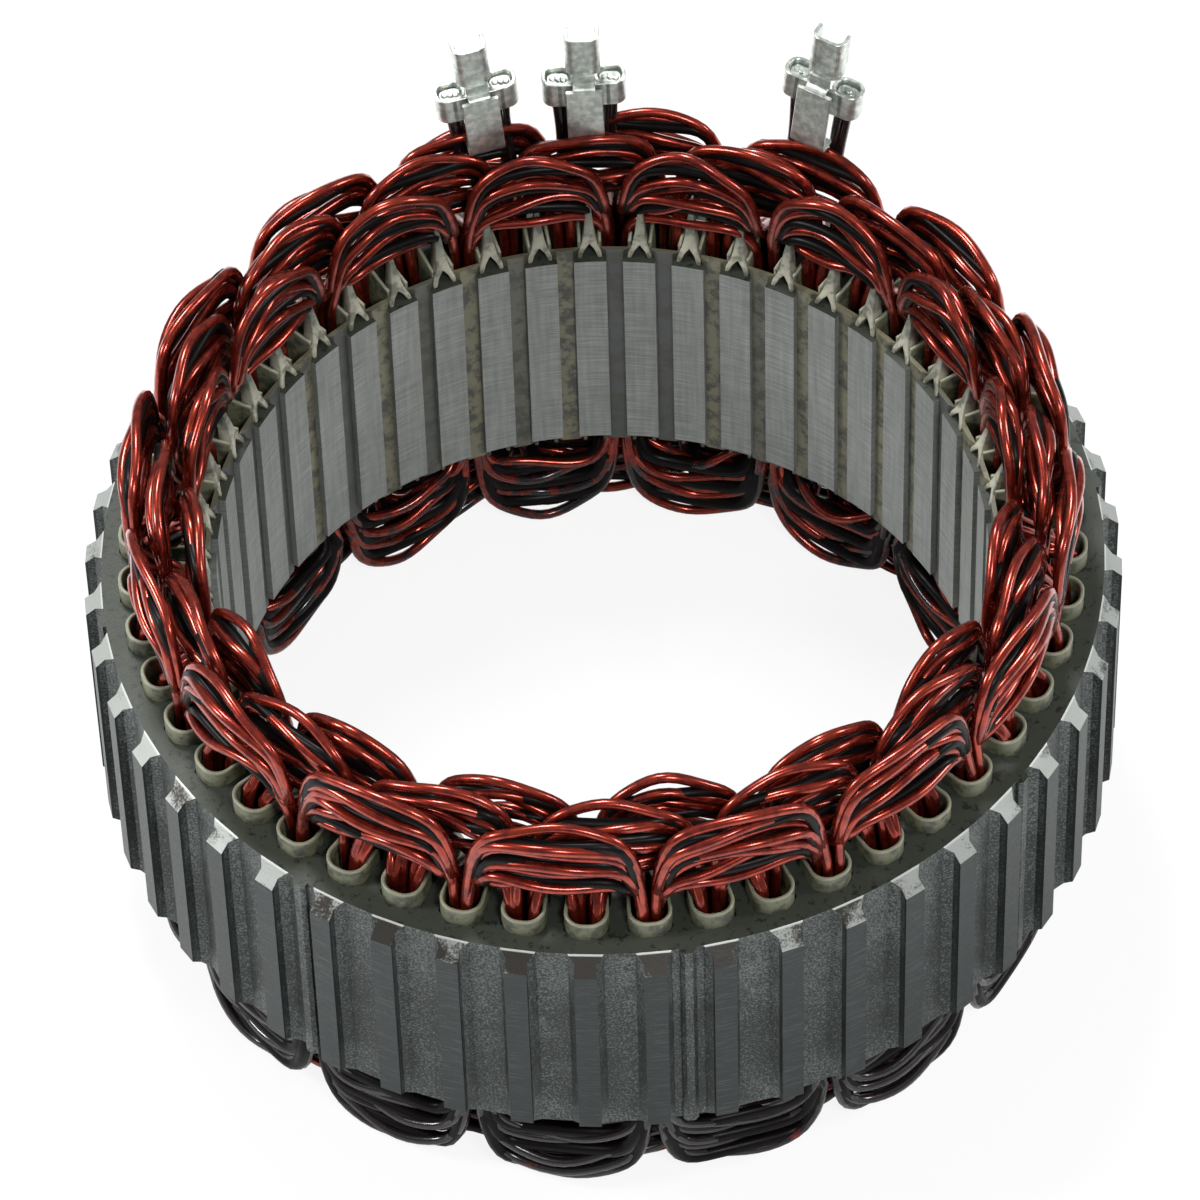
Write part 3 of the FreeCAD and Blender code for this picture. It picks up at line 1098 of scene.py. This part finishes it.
@dataclass(frozen=True)
class Winding:
    """All the wires: three phases, each an unbroken run of arches above and below the stack."""

    layout: Layout
    row_thickness: float = 3.3
    seed_step: int = 11
    lower_seed: int = 5
    wires: Run = Run(7, 0.77, 8.6, 20.3, scatter=1.0, inside=59.0, outside=68.3)
    # The fillings are near-black runs inside the bundles, partly varnish and partly painted shade;
    # the lower one is thicker.
    upper_filling: Run = Run(3, 0.86, 9.6, 17.6, scatter=0.12, inside=61.5, outside=65.5)
    lower_filling: Run = Run(3, 1.15, 9.6, 17.6, scatter=0.12, inside=61.5, outside=65.5)
    rows: tuple[Row, ...] = (
        Row("a", 1, 65.65, 18.2),
        Row("b", 2, 61.65, 18.0),
        Row("c", 0, 57.5, 16.4),
    )

    def build(self) -> None:
        """Lay every phase and put its wires in place of its node."""
        tree = HeadTree(ArchShape()).build()
        clear = EnamelledWire("wire_upper", Varnish.CLEAR).material()
        streaked_varnish_and_shade = EnamelledWire("wire_lower_inner", Varnish.STREAKED).material()
        heavy_varnish_and_shade = EnamelledWire("wire_lower_outer", Varnish.HEAVY).material()
        pooled_varnish_and_shade = VarnishAndShadeFill().material()
        for row in self.rows:
            for end in End:
                if end is End.UPPER:
                    filling, finish = self.upper_filling, clear
                else:
                    # The lower heads are darker than the upper, the outer row under the stack's
                    # overhang darkest: partly varnish, partly painted shade.
                    filling, finish = self.lower_filling, heavy_varnish_and_shade if row.phase == "a" else streaked_varnish_and_shade
                self.lay(tree, row, self.wires, "wires", end, finish)
                # The filling's near-black finish is partly varnish and partly painted shade between
                # and behind the wires.
                self.lay(tree, row, filling, "varnish", end, pooled_varnish_and_shade)

    def lay(
        self,
        tree: bpy.types.NodeTree,
        row: Row,
        run: Run,
        kind: str,
        end: End,
        material: bpy.types.Material,
    ) -> None:
        """Lay one run of arches.

        Args:
            tree: the tree that lays them.
            row: the phase's row.
            run: how many wires there are, and how they spread.
            kind: the first word of the piece's name.
            end: the end of the stack.
            material: the finish.
        """
        layout = self.layout
        upper = end is End.UPPER
        values = {
            "Arches": float(layout.slots // layout.coil_pitch),
            "Strands": float(run.strands),
            "Row Radius": row.inner_radius,
            "Row Thickness": self.row_thickness,
            "Slot Inside": run.inside,
            "Slot Outside": run.outside,
            "Low Crest": run.low,
            "High Crest": run.high,
            "Valley": row.valley,
            "Base": layout.top if upper else layout.base,
            "Way": end.value,
            "First Angle": layout.first_angle + row.first_slot * layout.pitch,
            "Span": layout.coil_pitch * layout.pitch,
            "Depth": (layout.top - layout.base) / 2.0,
            "Wire Radius": run.radius,
            "Scatter": run.scatter,
            "Seed": self.seed_step * (row.first_slot + 1) + (0 if upper else self.lower_seed),
            "Material": material,
        }
        piece = grow(f"{kind}_{row.phase}_{end.name.lower()}", tree, values)
        hand_over(piece, "enamelled_wire", f"phase_winding_{row.phase}")


# ---- slot insulation ----------------------------------------------------------------------------


def ring_tree(seed: int = 4) -> bpy.types.NodeTree:
    """Build the tree that repeats one mesh evenly about the axis.

    Args:
        seed: the seed of the parts' heights.

    Returns:
        The tree.
    """
    made = GeometryTree("repeat_round")
    geometry = made.input("Part", "NodeSocketGeometry")
    count = made.input("Count", "NodeSocketInt")
    turn, height, spread = (made.number(name) for name in ("First Angle", "Height", "Spread"))
    material = made.input("Material", "NodeSocketMaterial")
    start = made.node("ShaderNodeCombineXYZ", Z=(height * MM).socket)
    line = made.node("GeometryNodeMeshLine", Count=count, Start_Location=start.outputs[0])
    line.inputs["Offset"].default_value = (0.0, 0.0, 0.0)
    index = made.result(made.node("GeometryNodeInputIndex"))
    angle = turn + index / Number(made.tree, count) * FULL_TURN
    rotation = made.node("ShaderNodeCombineXYZ", Z=angle.socket)
    chance = made.random(-1.0, 1.0)
    chance.inputs["Seed"].default_value = seed
    stretch = made.result(chance, RANDOM_RESULT) * spread + 1.0
    scale = made.node("ShaderNodeCombineXYZ", Z=stretch.socket)
    scale.inputs[0].default_value = scale.inputs[1].default_value = 1.0
    placed = made.node(
        "GeometryNodeInstanceOnPoints",
        Points=line.outputs[0],
        Instance=geometry,
        Rotation=rotation.outputs[0],
        Scale=scale.outputs[0],
    )
    return made.finish(placed.outputs[0], material)


@dataclass(frozen=True)
class SlotInsulation:
    """The slot liners and the pinched cuffs over the teeth, in millimetres."""

    layout: Layout
    wall: float = 0.55
    end_radius: float = 69.9
    mouth_radius: float = 57.4
    corner: float = 2.75
    corner_steps: int = 7
    soft: float = 0.14
    cuff_notch: tuple[Point, ...] = ((0.0, 2.3), (0.75, 1.3), (1.25, 0.0), (1.85, 0.0))
    cuff_side: tuple[Point, ...] = ((1.75, 0.9), (1.2, 2.2), (0.85, 3.8), (0.6, 6.2), (0.16, 10.2))
    cuff_front: float = 0.75
    cuff_back: float = 3.4
    front_lean: float = 0.27
    back_lean: float = 0.1
    back_squeeze: float = 0.9
    cuff_soft: float = 0.1
    cuff_spread: float = 0.22
    cuff_darkening: Point = (8.0, 7.0)

    def liner_path(self, inset: float) -> list[Point]:
        """The U of a liner, from the slot's mouth round its end and back.

        Args:
            inset: the depth inside the slot's wall.

        Returns:
            The path's points.
        """
        layout = self.layout
        corner = self.corner - inset
        x_knee = self.end_radius - inset - corner
        half = layout.half_slot(x_knee) - inset
        mouth_half = layout.half_slot(self.mouth_radius) - inset
        lower = arc((x_knee, -half + corner), corner, -90.0, 0.0, self.corner_steps)
        upper = arc((x_knee, half - corner), corner, 0.0, 90.0, self.corner_steps)
        return [(self.mouth_radius, -mouth_half), *lower, *upper, (self.mouth_radius, mouth_half)]

    def liner_mesh(self) -> bpy.types.Mesh:
        """One liner in the slot along +X, its rims slightly rounded.

        Returns:
            The liner's mesh.
        """
        low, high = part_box("slot_liners")
        build = bmesh.new()
        loops = []
        for inset, z in wall_section(low.z / MM, high.z / MM, self.wall, self.soft):
            loops.append([build.verts.new((x, y, z)) for x, y in self.liner_path(inset)])
        ring_skin(build, loops, closed=False)
        build.faces.new([loop[0] for loop in loops])
        build.faces.new([loop[-1] for loop in reversed(loops)])
        return take_mesh("liner_part", build)

    def cuff_mesh(self) -> bpy.types.Mesh:
        """One pinched cuff over the tooth along +X, from two neighbouring liners' flared ends.

        Returns:
            The cuff's mesh.
        """
        right = (*self.cuff_notch, *self.cuff_side)
        outline = (*right, *((-y, z) for y, z in reversed(right[1:])))
        bore = self.layout.bore_radius
        build = bmesh.new()
        loops = []
        for start, lean, squeeze in (
            (bore + self.cuff_front, self.front_lean, 1.0),
            (bore + self.cuff_back, self.back_lean, self.back_squeeze),
        ):
            loops.append([build.verts.new((start + lean * z, y * squeeze, z)) for y, z in outline])
        bridge(build, loops[0], loops[1])
        build.faces.new(loops[0])
        build.faces.new(list(reversed(loops[1])))
        bmesh.ops.recalc_face_normals(build, faces=build.faces)
        edges = list(build.edges)
        bmesh.ops.bevel(build, geom=edges, offset=self.cuff_soft, segments=1, affect="EDGES")
        return take_mesh("cuff_part", build)

    def build(self) -> None:
        """Repeat the liner in every slot and stand a pinched cuff over every tooth."""
        layout = self.layout
        liner = SheetInsulation(
            "liner_sheet",
            body=(0.10, 0.105, 0.062),
            edge=(0.27, 0.27, 0.19),
            dirt=(0.035, 0.036, 0.025),
            edge_height_mm=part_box("slot_liners")[1].z / MM,
        )
        values = {
            "Count": layout.slots,
            "First Angle": layout.first_angle,
            "Material": liner.material(),
        }
        piece = grow("liners_shaped", ring_tree(), values, self.liner_mesh())
        hand_over(piece, "liner_sheet", "slot_liners")
        cuff = SheetInsulation(
            "cuff_sheet",
            body=(0.46, 0.45, 0.36),
            edge=(0.05, 0.065, 0.06),
            dirt=(0.17, 0.17, 0.13),
            # The cuffs grow darker towards their tips, from 1 mm to 8 mm over the stack.
            edge_height_mm=layout.top + self.cuff_darkening[0],
            edge_soft_mm=self.cuff_darkening[1],
        )
        values = {
            "Count": layout.slots,
            "First Angle": layout.first_angle + layout.pitch / 2.0,
            "Height": layout.top,
            "Spread": self.cuff_spread,
            "Material": cuff.material(),
        }
        hand_over(grow("liner_cuffs", ring_tree(), values, self.cuff_mesh()), "liner_sheet")


# ---- terminals ----------------------------------------------------------------------------------


class Side(Enum):
    """The two sides of a terminal."""

    LEFT = -1
    RIGHT = 1


@dataclass(frozen=True)
class Stand:
    """Where a terminal stands: angle from slot 0, radius, foot over the stack and two leans."""

    number: int
    angle: float
    radius: float
    foot: float
    side_lean: float
    out_lean: float

    def matrix(self, top: float) -> Matrix:
        """The terminal's place, in millimetres.

        Args:
            top: the height of the stack's upper face.

        Returns:
            The placement of a terminal built upright at the origin, facing -Y.
        """
        turned = math.radians(self.angle) - math.pi / 2.0
        x, y = self.radius * math.cos(turned), self.radius * math.sin(turned)
        facing = Matrix.Rotation(math.radians(180.0 + self.angle), 4, "Z")
        sideways = Matrix.Rotation(math.radians(-self.side_lean), 4, "Y")
        outwards = Matrix.Rotation(math.radians(-self.out_lean), 4, "X")
        return Matrix.Translation(Vector((x, y, top + self.foot))) @ facing @ sideways @ outwards


@dataclass(frozen=True)
class TerminalShape:
    """One folded terminal with its solder and leads, upright at the origin, in millimetres."""

    wall: float = 0.6
    strip_soft: float = 0.1
    plate_width: float = 5.4
    plate_height: float = 11.4
    foot_bend: float = 0.9
    foot_depth: float = 2.6
    step: float = 1.4
    neck_width: float = 3.3
    neck_height: float = 1.7
    neck_root: float = 0.8
    neck_bend: float = 0.45
    neck_ease: float = 0.05
    neck_rise: float = 0.6
    neck_overlap: float = 0.4
    fork_width: float = 5.2
    fork_depth: float = 3.1
    fork_height: float = 7.4
    fork_bend: float = 1.5
    fork_soft: float = 0.08
    barrel_width: float = 4.7
    barrel_depth: float = 4.1
    barrel_height: float = 4.7
    barrel_offset: float = 3.85
    barrel_front: float = 1.1
    barrel_corner: float = 1.75
    barrel_soft: float = 0.12
    web_drop: float = 0.05
    solder_corner: float = 1.15
    solder_drop: float = 0.9
    solder_soft: float = 0.25
    wire_ends: tuple[float, ...] = (-0.75, 0.1, 0.85)
    end_radius: float = 0.5
    end_foot: float = 2.0
    end_drop: float = 0.45
    end_stagger: float = 0.2
    lead_radius: float = 0.72
    lead_sides: int = 12
    lead_points: int = 13
    lead_rise: float = 2.0
    lead_length: float = 17.0
    lead_pair: tuple[Point, ...] = ((-0.62, -0.2), (0.62, 0.35))
    lead_close: float = 0.2
    lead_gather: float = 0.5
    gather_waves: float = 2.6
    bow_waves: float = 5.0
    lead_slope: float = 0.5

    def folded(self, build: bmesh.types.BMesh, path: list[Point], width: float) -> None:
        """Add a strip folded along a path in the (Y, Z) plane, its thickness left of the path.

        Args:
            build: the bmesh to add to.
            path: the strip's front line.
            width: the strip's width across X.
        """
        half = width / 2.0
        section = wall_section(-half, half, self.wall, self.strip_soft)
        loops = []
        for n, (y, z) in enumerate(path):
            before, after = path[max(n - 1, 0)], path[min(n + 1, len(path) - 1)]
            length = math.hypot(after[0] - before[0], after[1] - before[1])
            ny, nz = -(after[1] - before[1]) / length, (after[0] - before[0]) / length
            ring = [build.verts.new((x, y + ny * deep, z + nz * deep)) for deep, x in section]
            loops.append(ring)
        skin(build, loops)

    def racetrack(
        self, width: float, depth: float, corner: float, centre: float, front: float
    ) -> list[Point]:
        """A rounded rectangle, anticlockwise.

        Args:
            width: its size across.
            depth: its size from front to back.
            corner: its corners' radius.
            centre: the middle of its width.
            front: where its depth begins.

        Returns:
            The outline.
        """
        left, right = centre - width / 2.0 + corner, centre + width / 2.0 - corner
        low, high = front + corner, front + depth - corner
        corners = ((right, low), (right, high), (left, high), (left, low))
        points = []
        for start, place in zip((-90.0, 0.0, 90.0, 180.0), corners):
            points += arc(place, corner, start, start + 90.0)
        return points

    def barrel(self, build: bmesh.types.BMesh, side: Side) -> None:
        """Add a crimp barrel.

        Args:
            build: the bmesh to add to.
            side: the side of the terminal that it is on.
        """
        centre = side.value * self.barrel_offset
        outer = self.racetrack(
            self.barrel_width, self.barrel_depth, self.barrel_corner, centre, self.barrel_front
        )
        low, high = self.plate_height - self.barrel_height, self.plate_height
        loops = []
        for inset, z in wall_section(low, high, self.wall, self.barrel_soft):
            loops.append([build.verts.new((x, y, z)) for x, y in inset_loop(outer, inset)])
        ring_skin(build, loops)

    def fork(self, build: bmesh.types.BMesh) -> None:
        """Add the channel on top of the neck, open outwards.

        Args:
            build: the bmesh to add to.
        """
        half, depth, bend = self.fork_width / 2.0, self.fork_depth, self.fork_bend
        middle = (half - bend, bend)
        right = arc(middle, bend, -90.0, 0.0) + [(half, depth)]
        inside = [(half - self.wall, depth), *arc(middle, bend - self.wall, 0.0, -90.0)]
        left = [(-x, y) for x, y in reversed(right)]
        inside_left = [(-x, y) for x, y in reversed(inside)]
        points = [(x, y + self.step) for x, y in left + right + inside + inside_left]
        low = self.plate_height + self.neck_height
        softened_prism(build, points, low, low + self.fork_height, self.fork_soft)

    def terminal(self) -> bmesh.types.BMesh:
        """The folded plate, neck, fork, barrels and the web between them.

        Returns:
            The terminal as a bmesh.
        """
        build = bmesh.new()
        top, bend = self.plate_height, self.foot_bend
        foot = [(self.foot_depth, 0.0), *reversed(arc((bend, bend), bend, 180.0, 270.0, 5))]
        self.folded(build, [*foot, (0.0, top * 0.5), (0.0, top)], self.plate_width)
        bend, rise = self.neck_bend, self.neck_rise
        level_end = self.step - rise
        head = top + self.neck_height + self.neck_overlap
        neck = [
            (0.0, top - self.neck_root),
            *reversed(arc((bend, top - bend), bend, 90.0, 180.0, 4)),
            (level_end - self.neck_ease, top),
            *arc((level_end, top + rise), rise, -90.0, 0.0, 4)[1:],
            (self.step, head),
        ]
        self.folded(build, neck, self.neck_width)
        self.fork(build)
        for side in Side:
            self.barrel(build, side)
        reach, front = self.barrel_offset, self.barrel_front
        back = front + self.wall
        web = [(-reach, front), (reach, front), (reach, back), (-reach, back)]
        low, high = top - self.barrel_height, top - self.web_drop
        softened_prism(build, web, low, high, self.strip_soft)
        return build

    def solder(self) -> bmesh.types.BMesh:
        """The solder and wire ends that fill both barrels.

        Returns:
            The fillings as a bmesh.
        """
        build = bmesh.new()
        top = self.plate_height
        width, depth = self.barrel_width - 2 * self.wall, self.barrel_depth - 2 * self.wall
        for side in Side:
            centre, front = side.value * self.barrel_offset, self.barrel_front + self.wall
            outline = self.racetrack(width, depth, self.solder_corner, centre, front)
            low, high = top - self.barrel_height, top - self.solder_drop
            softened_prism(build, outline, low, high, self.solder_soft)
            for shift in self.wire_ends:
                middle = self.barrel_front + self.barrel_depth / 2.0 - self.end_stagger * shift
                end = arc((centre + shift, middle), self.end_radius, 0.0, 330.0, 11)
                high = top - self.end_drop - self.end_stagger * abs(shift)
                softened_prism(build, end, top - self.end_foot, high, self.barrel_soft)
        return build

    def tube(self, build: bmesh.types.BMesh, path: list[Vector]) -> None:
        """Add a round wire that runs up or down.

        Args:
            build: the bmesh to add to.
            path: the wire's middle line, nowhere along X.
        """
        rings = []
        for n, point in enumerate(path):
            ahead = (path[min(n + 1, len(path) - 1)] - path[max(n - 1, 0)]).normalized()
            across = ahead.cross(Vector((1.0, 0.0, 0.0))).normalized()
            other = ahead.cross(across)
            ring = []
            for k in range(self.lead_sides):
                angle = FULL_TURN * k / self.lead_sides
                outwards = across * math.cos(angle) + other * math.sin(angle)
                ring.append(build.verts.new(point + outwards * self.lead_radius))
            rings.append(ring)
        skin(build, rings)

    def lead(self, side: Side) -> bmesh.types.BMesh:
        """The pair of varnished wires below one barrel.

        Args:
            side: the side of the terminal that they are on.

        Returns:
            The wires as a bmesh.
        """
        build = bmesh.new()
        top = self.plate_height - self.barrel_height + self.lead_rise
        middle = self.barrel_front + self.barrel_depth / 2.0
        for shift, bow in self.lead_pair:
            path = []
            for n in range(self.lead_points):
                share = n / (self.lead_points - 1.0)
                reach = self.barrel_offset - self.lead_gather * math.sin(share * self.gather_waves)
                x = side.value * reach + shift * (1.0 - self.lead_close * share)
                y = middle + bow * math.sin(share * self.bow_waves) + self.lead_slope * share
                path.append(Vector((x, y, top - share * self.lead_length)))
            self.tube(build, path)
        return build


@dataclass(frozen=True)
class Terminals:
    """The three folded terminals and the six leads crimped into them."""

    layout: Layout
    shape: TerminalShape = TerminalShape()
    sharp_angle: float = 35.0
    stands: tuple[Stand, ...] = (
        Stand(1, 197.0, 63.4, 18.9, 4.5, -1.0),
        Stand(2, 183.6, 63.0, 18.6, 1.0, -1.5),
        Stand(3, 154.2, 65.9, 22.4, -5.0, 3.0),
    )

    def build(self) -> None:
        """Stand the terminals and leads in place of their nodes."""
        tin = TinnedStrip().material()
        varnished = EnamelledWire("lead_varnish", Varnish.HEAVY).material()
        for stand in self.stands:
            node = f"terminal_{stand.number}"
            terminal = self.shape.terminal()
            piece = self.place(stand, f"{node}_shaped", terminal, tin)
            hand_over(piece, "tinned_strip", node)
            solder = self.shape.solder()
            piece = self.place(stand, f"solder_{stand.number}", solder, tin, smooth=False)
            hand_over(piece, "tinned_strip")
            for side in Side:
                node = f"lead_{stand.number}_{side.name.lower()}"
                lead = self.shape.lead(side)
                piece = self.place(stand, f"{node}_wires", lead, varnished)
                hand_over(piece, "varnished_lead", node)

    def place(
        self,
        stand: Stand,
        name: str,
        build: bmesh.types.BMesh,
        material: bpy.types.Material,
        smooth: bool = True,
    ) -> bpy.types.Object:
        """Stand a piece that was built upright at the origin.

        Args:
            stand: where the terminal stands.
            name: the piece's name.
            build: the piece, freed here.
            material: its finish.
            smooth: whether it is shaded smooth between its sharp edges.

        Returns:
            The finished piece.
        """
        bmesh.ops.transform(build, matrix=stand.matrix(self.layout.top), verts=build.verts)
        piece = stand_mesh(name, take_mesh(name, build, smooth))
        if smooth:
            piece.data.set_sharp_from_angle(angle=math.radians(self.sharp_angle))
        piece.data.materials.append(material)
        return piece


# ---- stack --------------------------------------------------------------------------------------


@dataclass(frozen=True)
class Stack:
    """The lamination stack and the closers, whose solids stay and get their finishes."""

    layout: Layout
    nodes: dict[str, bpy.types.Object]
    closer_rise: float = 1.8

    def build(self) -> None:
        """Dress the nodes."""
        self.dress("lamination_stack", StackSteel().material(self.layout))
        closers = SheetInsulation(
            "closer_strip",
            body=(0.045, 0.052, 0.050),
            edge=(0.16, 0.15, 0.09),
            dirt=(0.04, 0.04, 0.03),
            edge_height_mm=self.layout.top + self.closer_rise,
            other=(0.15, 0.145, 0.085),
        )
        self.dress("slot_closers", closers.material())

    def dress(self, node: str, material: bpy.types.Material) -> None:
        """Give a node one material.

        Args:
            node: the node's name.
            material: its finish.
        """
        mesh = self.nodes[node].data
        mesh.materials.clear()
        mesh.materials.append(material)
        LOG.info("%s dressed", node)


# ---- studio -------------------------------------------------------------------------------------


@dataclass(frozen=True)
class Lamp:
    """A round soft lamp: its place and size in metres, and its power in watts."""

    name: str
    place: Axes
    size: float
    power: float


@dataclass(frozen=True)
class Studio:
    """Floor, lamps and camera; the camera's angles in degrees, its distances in millimetres."""

    layout: Layout
    floor_size: float = 8.0
    aim_height: float = 0.05
    world_strength: float = 0.34
    lamps: tuple[Lamp, ...] = (
        Lamp("key", (-0.2, 0.45, 1.2), 0.3, 15.0),
        Lamp("front", (0.3, -0.7, 1.0), 0.25, 6.5),
        Lamp("left", (-1.1, -0.1, 0.8), 0.3, 13.0),
        Lamp("right", (1.1, 0.1, 0.7), 0.3, 7.0),
    )
    azimuth: float = 3.22
    elevation: float = 50.56
    roll: float = 1.776
    distance: float = 1128.4
    drop: float = 7.12
    aside: float = 0.35
    lens: float = 234.4
    sensor: float = 36.0
    clip: Point = (0.05, 50.0)

    def build(self) -> None:
        """Set the stage."""
        self.floor()
        for lamp in self.lamps:
            self.light(lamp)
        self.world()
        self.camera()
        bpy.context.scene.view_settings.view_transform = "Standard"

    def floor(self) -> None:
        """Lay a wide pale floor just under the object."""
        place = (0.0, 0.0, self.layout.lowest * MM)
        bpy.ops.mesh.primitive_plane_add(size=self.floor_size, location=place)
        floor = bpy.context.object
        floor.name = "floor"
        floor.data.materials.append(PaleBackdrop().material())

    def light(self, lamp: Lamp) -> None:
        """Hang a soft lamp that faces the object.

        Args:
            lamp: the lamp's place, size and power.
        """
        data = bpy.data.lights.new(lamp.name, "AREA")
        data.shape = "DISK"
        data.size = lamp.size
        data.energy = lamp.power
        hung = bpy.data.objects.new(lamp.name, data)
        hung.location = lamp.place
        aim = Vector((0.0, 0.0, self.aim_height)) - Vector(lamp.place)
        hung.rotation_euler = aim.to_track_quat("-Z", "Y").to_euler()
        bpy.context.scene.collection.objects.link(hung)

    def world(self) -> None:
        """Surround the object with a plain pale world."""
        world = bpy.data.worlds.new("world")
        world.use_nodes = True
        bpy.context.scene.world = world
        background = world.node_tree.nodes["Background"]
        background.inputs["Color"].default_value = (1.0, 1.0, 1.0, 1.0)
        background.inputs["Strength"].default_value = self.world_strength

    def camera(self) -> None:
        """Set up a long lens that looks down at the front of the bore."""
        data = bpy.data.cameras.new("camera")
        data.sensor_width = self.sensor
        data.lens = self.lens
        camera = bpy.data.objects.new("camera", data)
        bpy.context.scene.collection.objects.link(camera)
        angles = (self.azimuth, self.elevation, self.roll)
        azimuth, elevation, roll = (math.radians(angle) for angle in angles)
        back = Vector(
            (
                math.sin(azimuth) * math.cos(elevation),
                -math.cos(azimuth) * math.cos(elevation),
                math.sin(elevation),
            )
        )
        level = Vector((math.cos(azimuth), math.sin(azimuth), 0.0))
        upright = back.cross(level)
        right = level * math.cos(roll) - upright * math.sin(roll)
        up = level * math.sin(roll) + upright * math.cos(roll)
        target = Vector((0.0, 0.0, self.layout.top))
        place = target + back * self.distance
        aim = target - up * self.drop - right * self.aside
        away = (place - aim).normalized()
        side = up.cross(away).normalized()
        matrix = Matrix((side, away.cross(side), away)).transposed().to_4x4()
        matrix.translation = place * MM
        camera.matrix_world = matrix
        data.clip_start, data.clip_end = self.clip
        bpy.context.scene.camera = camera


def main() -> None:
    """Build every piece in order."""
    logging.basicConfig(level=logging.INFO, format="%(name)s %(message)s")
    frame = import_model()
    layout = Layout.from_frame(frame["record"])
    Studio(layout).build()
    Stack(layout, frame["nodes"]).build()
    SlotInsulation(layout).build()
    Winding(layout).build()
    Terminals(layout).build()


if __name__ == "__main__":
    main()
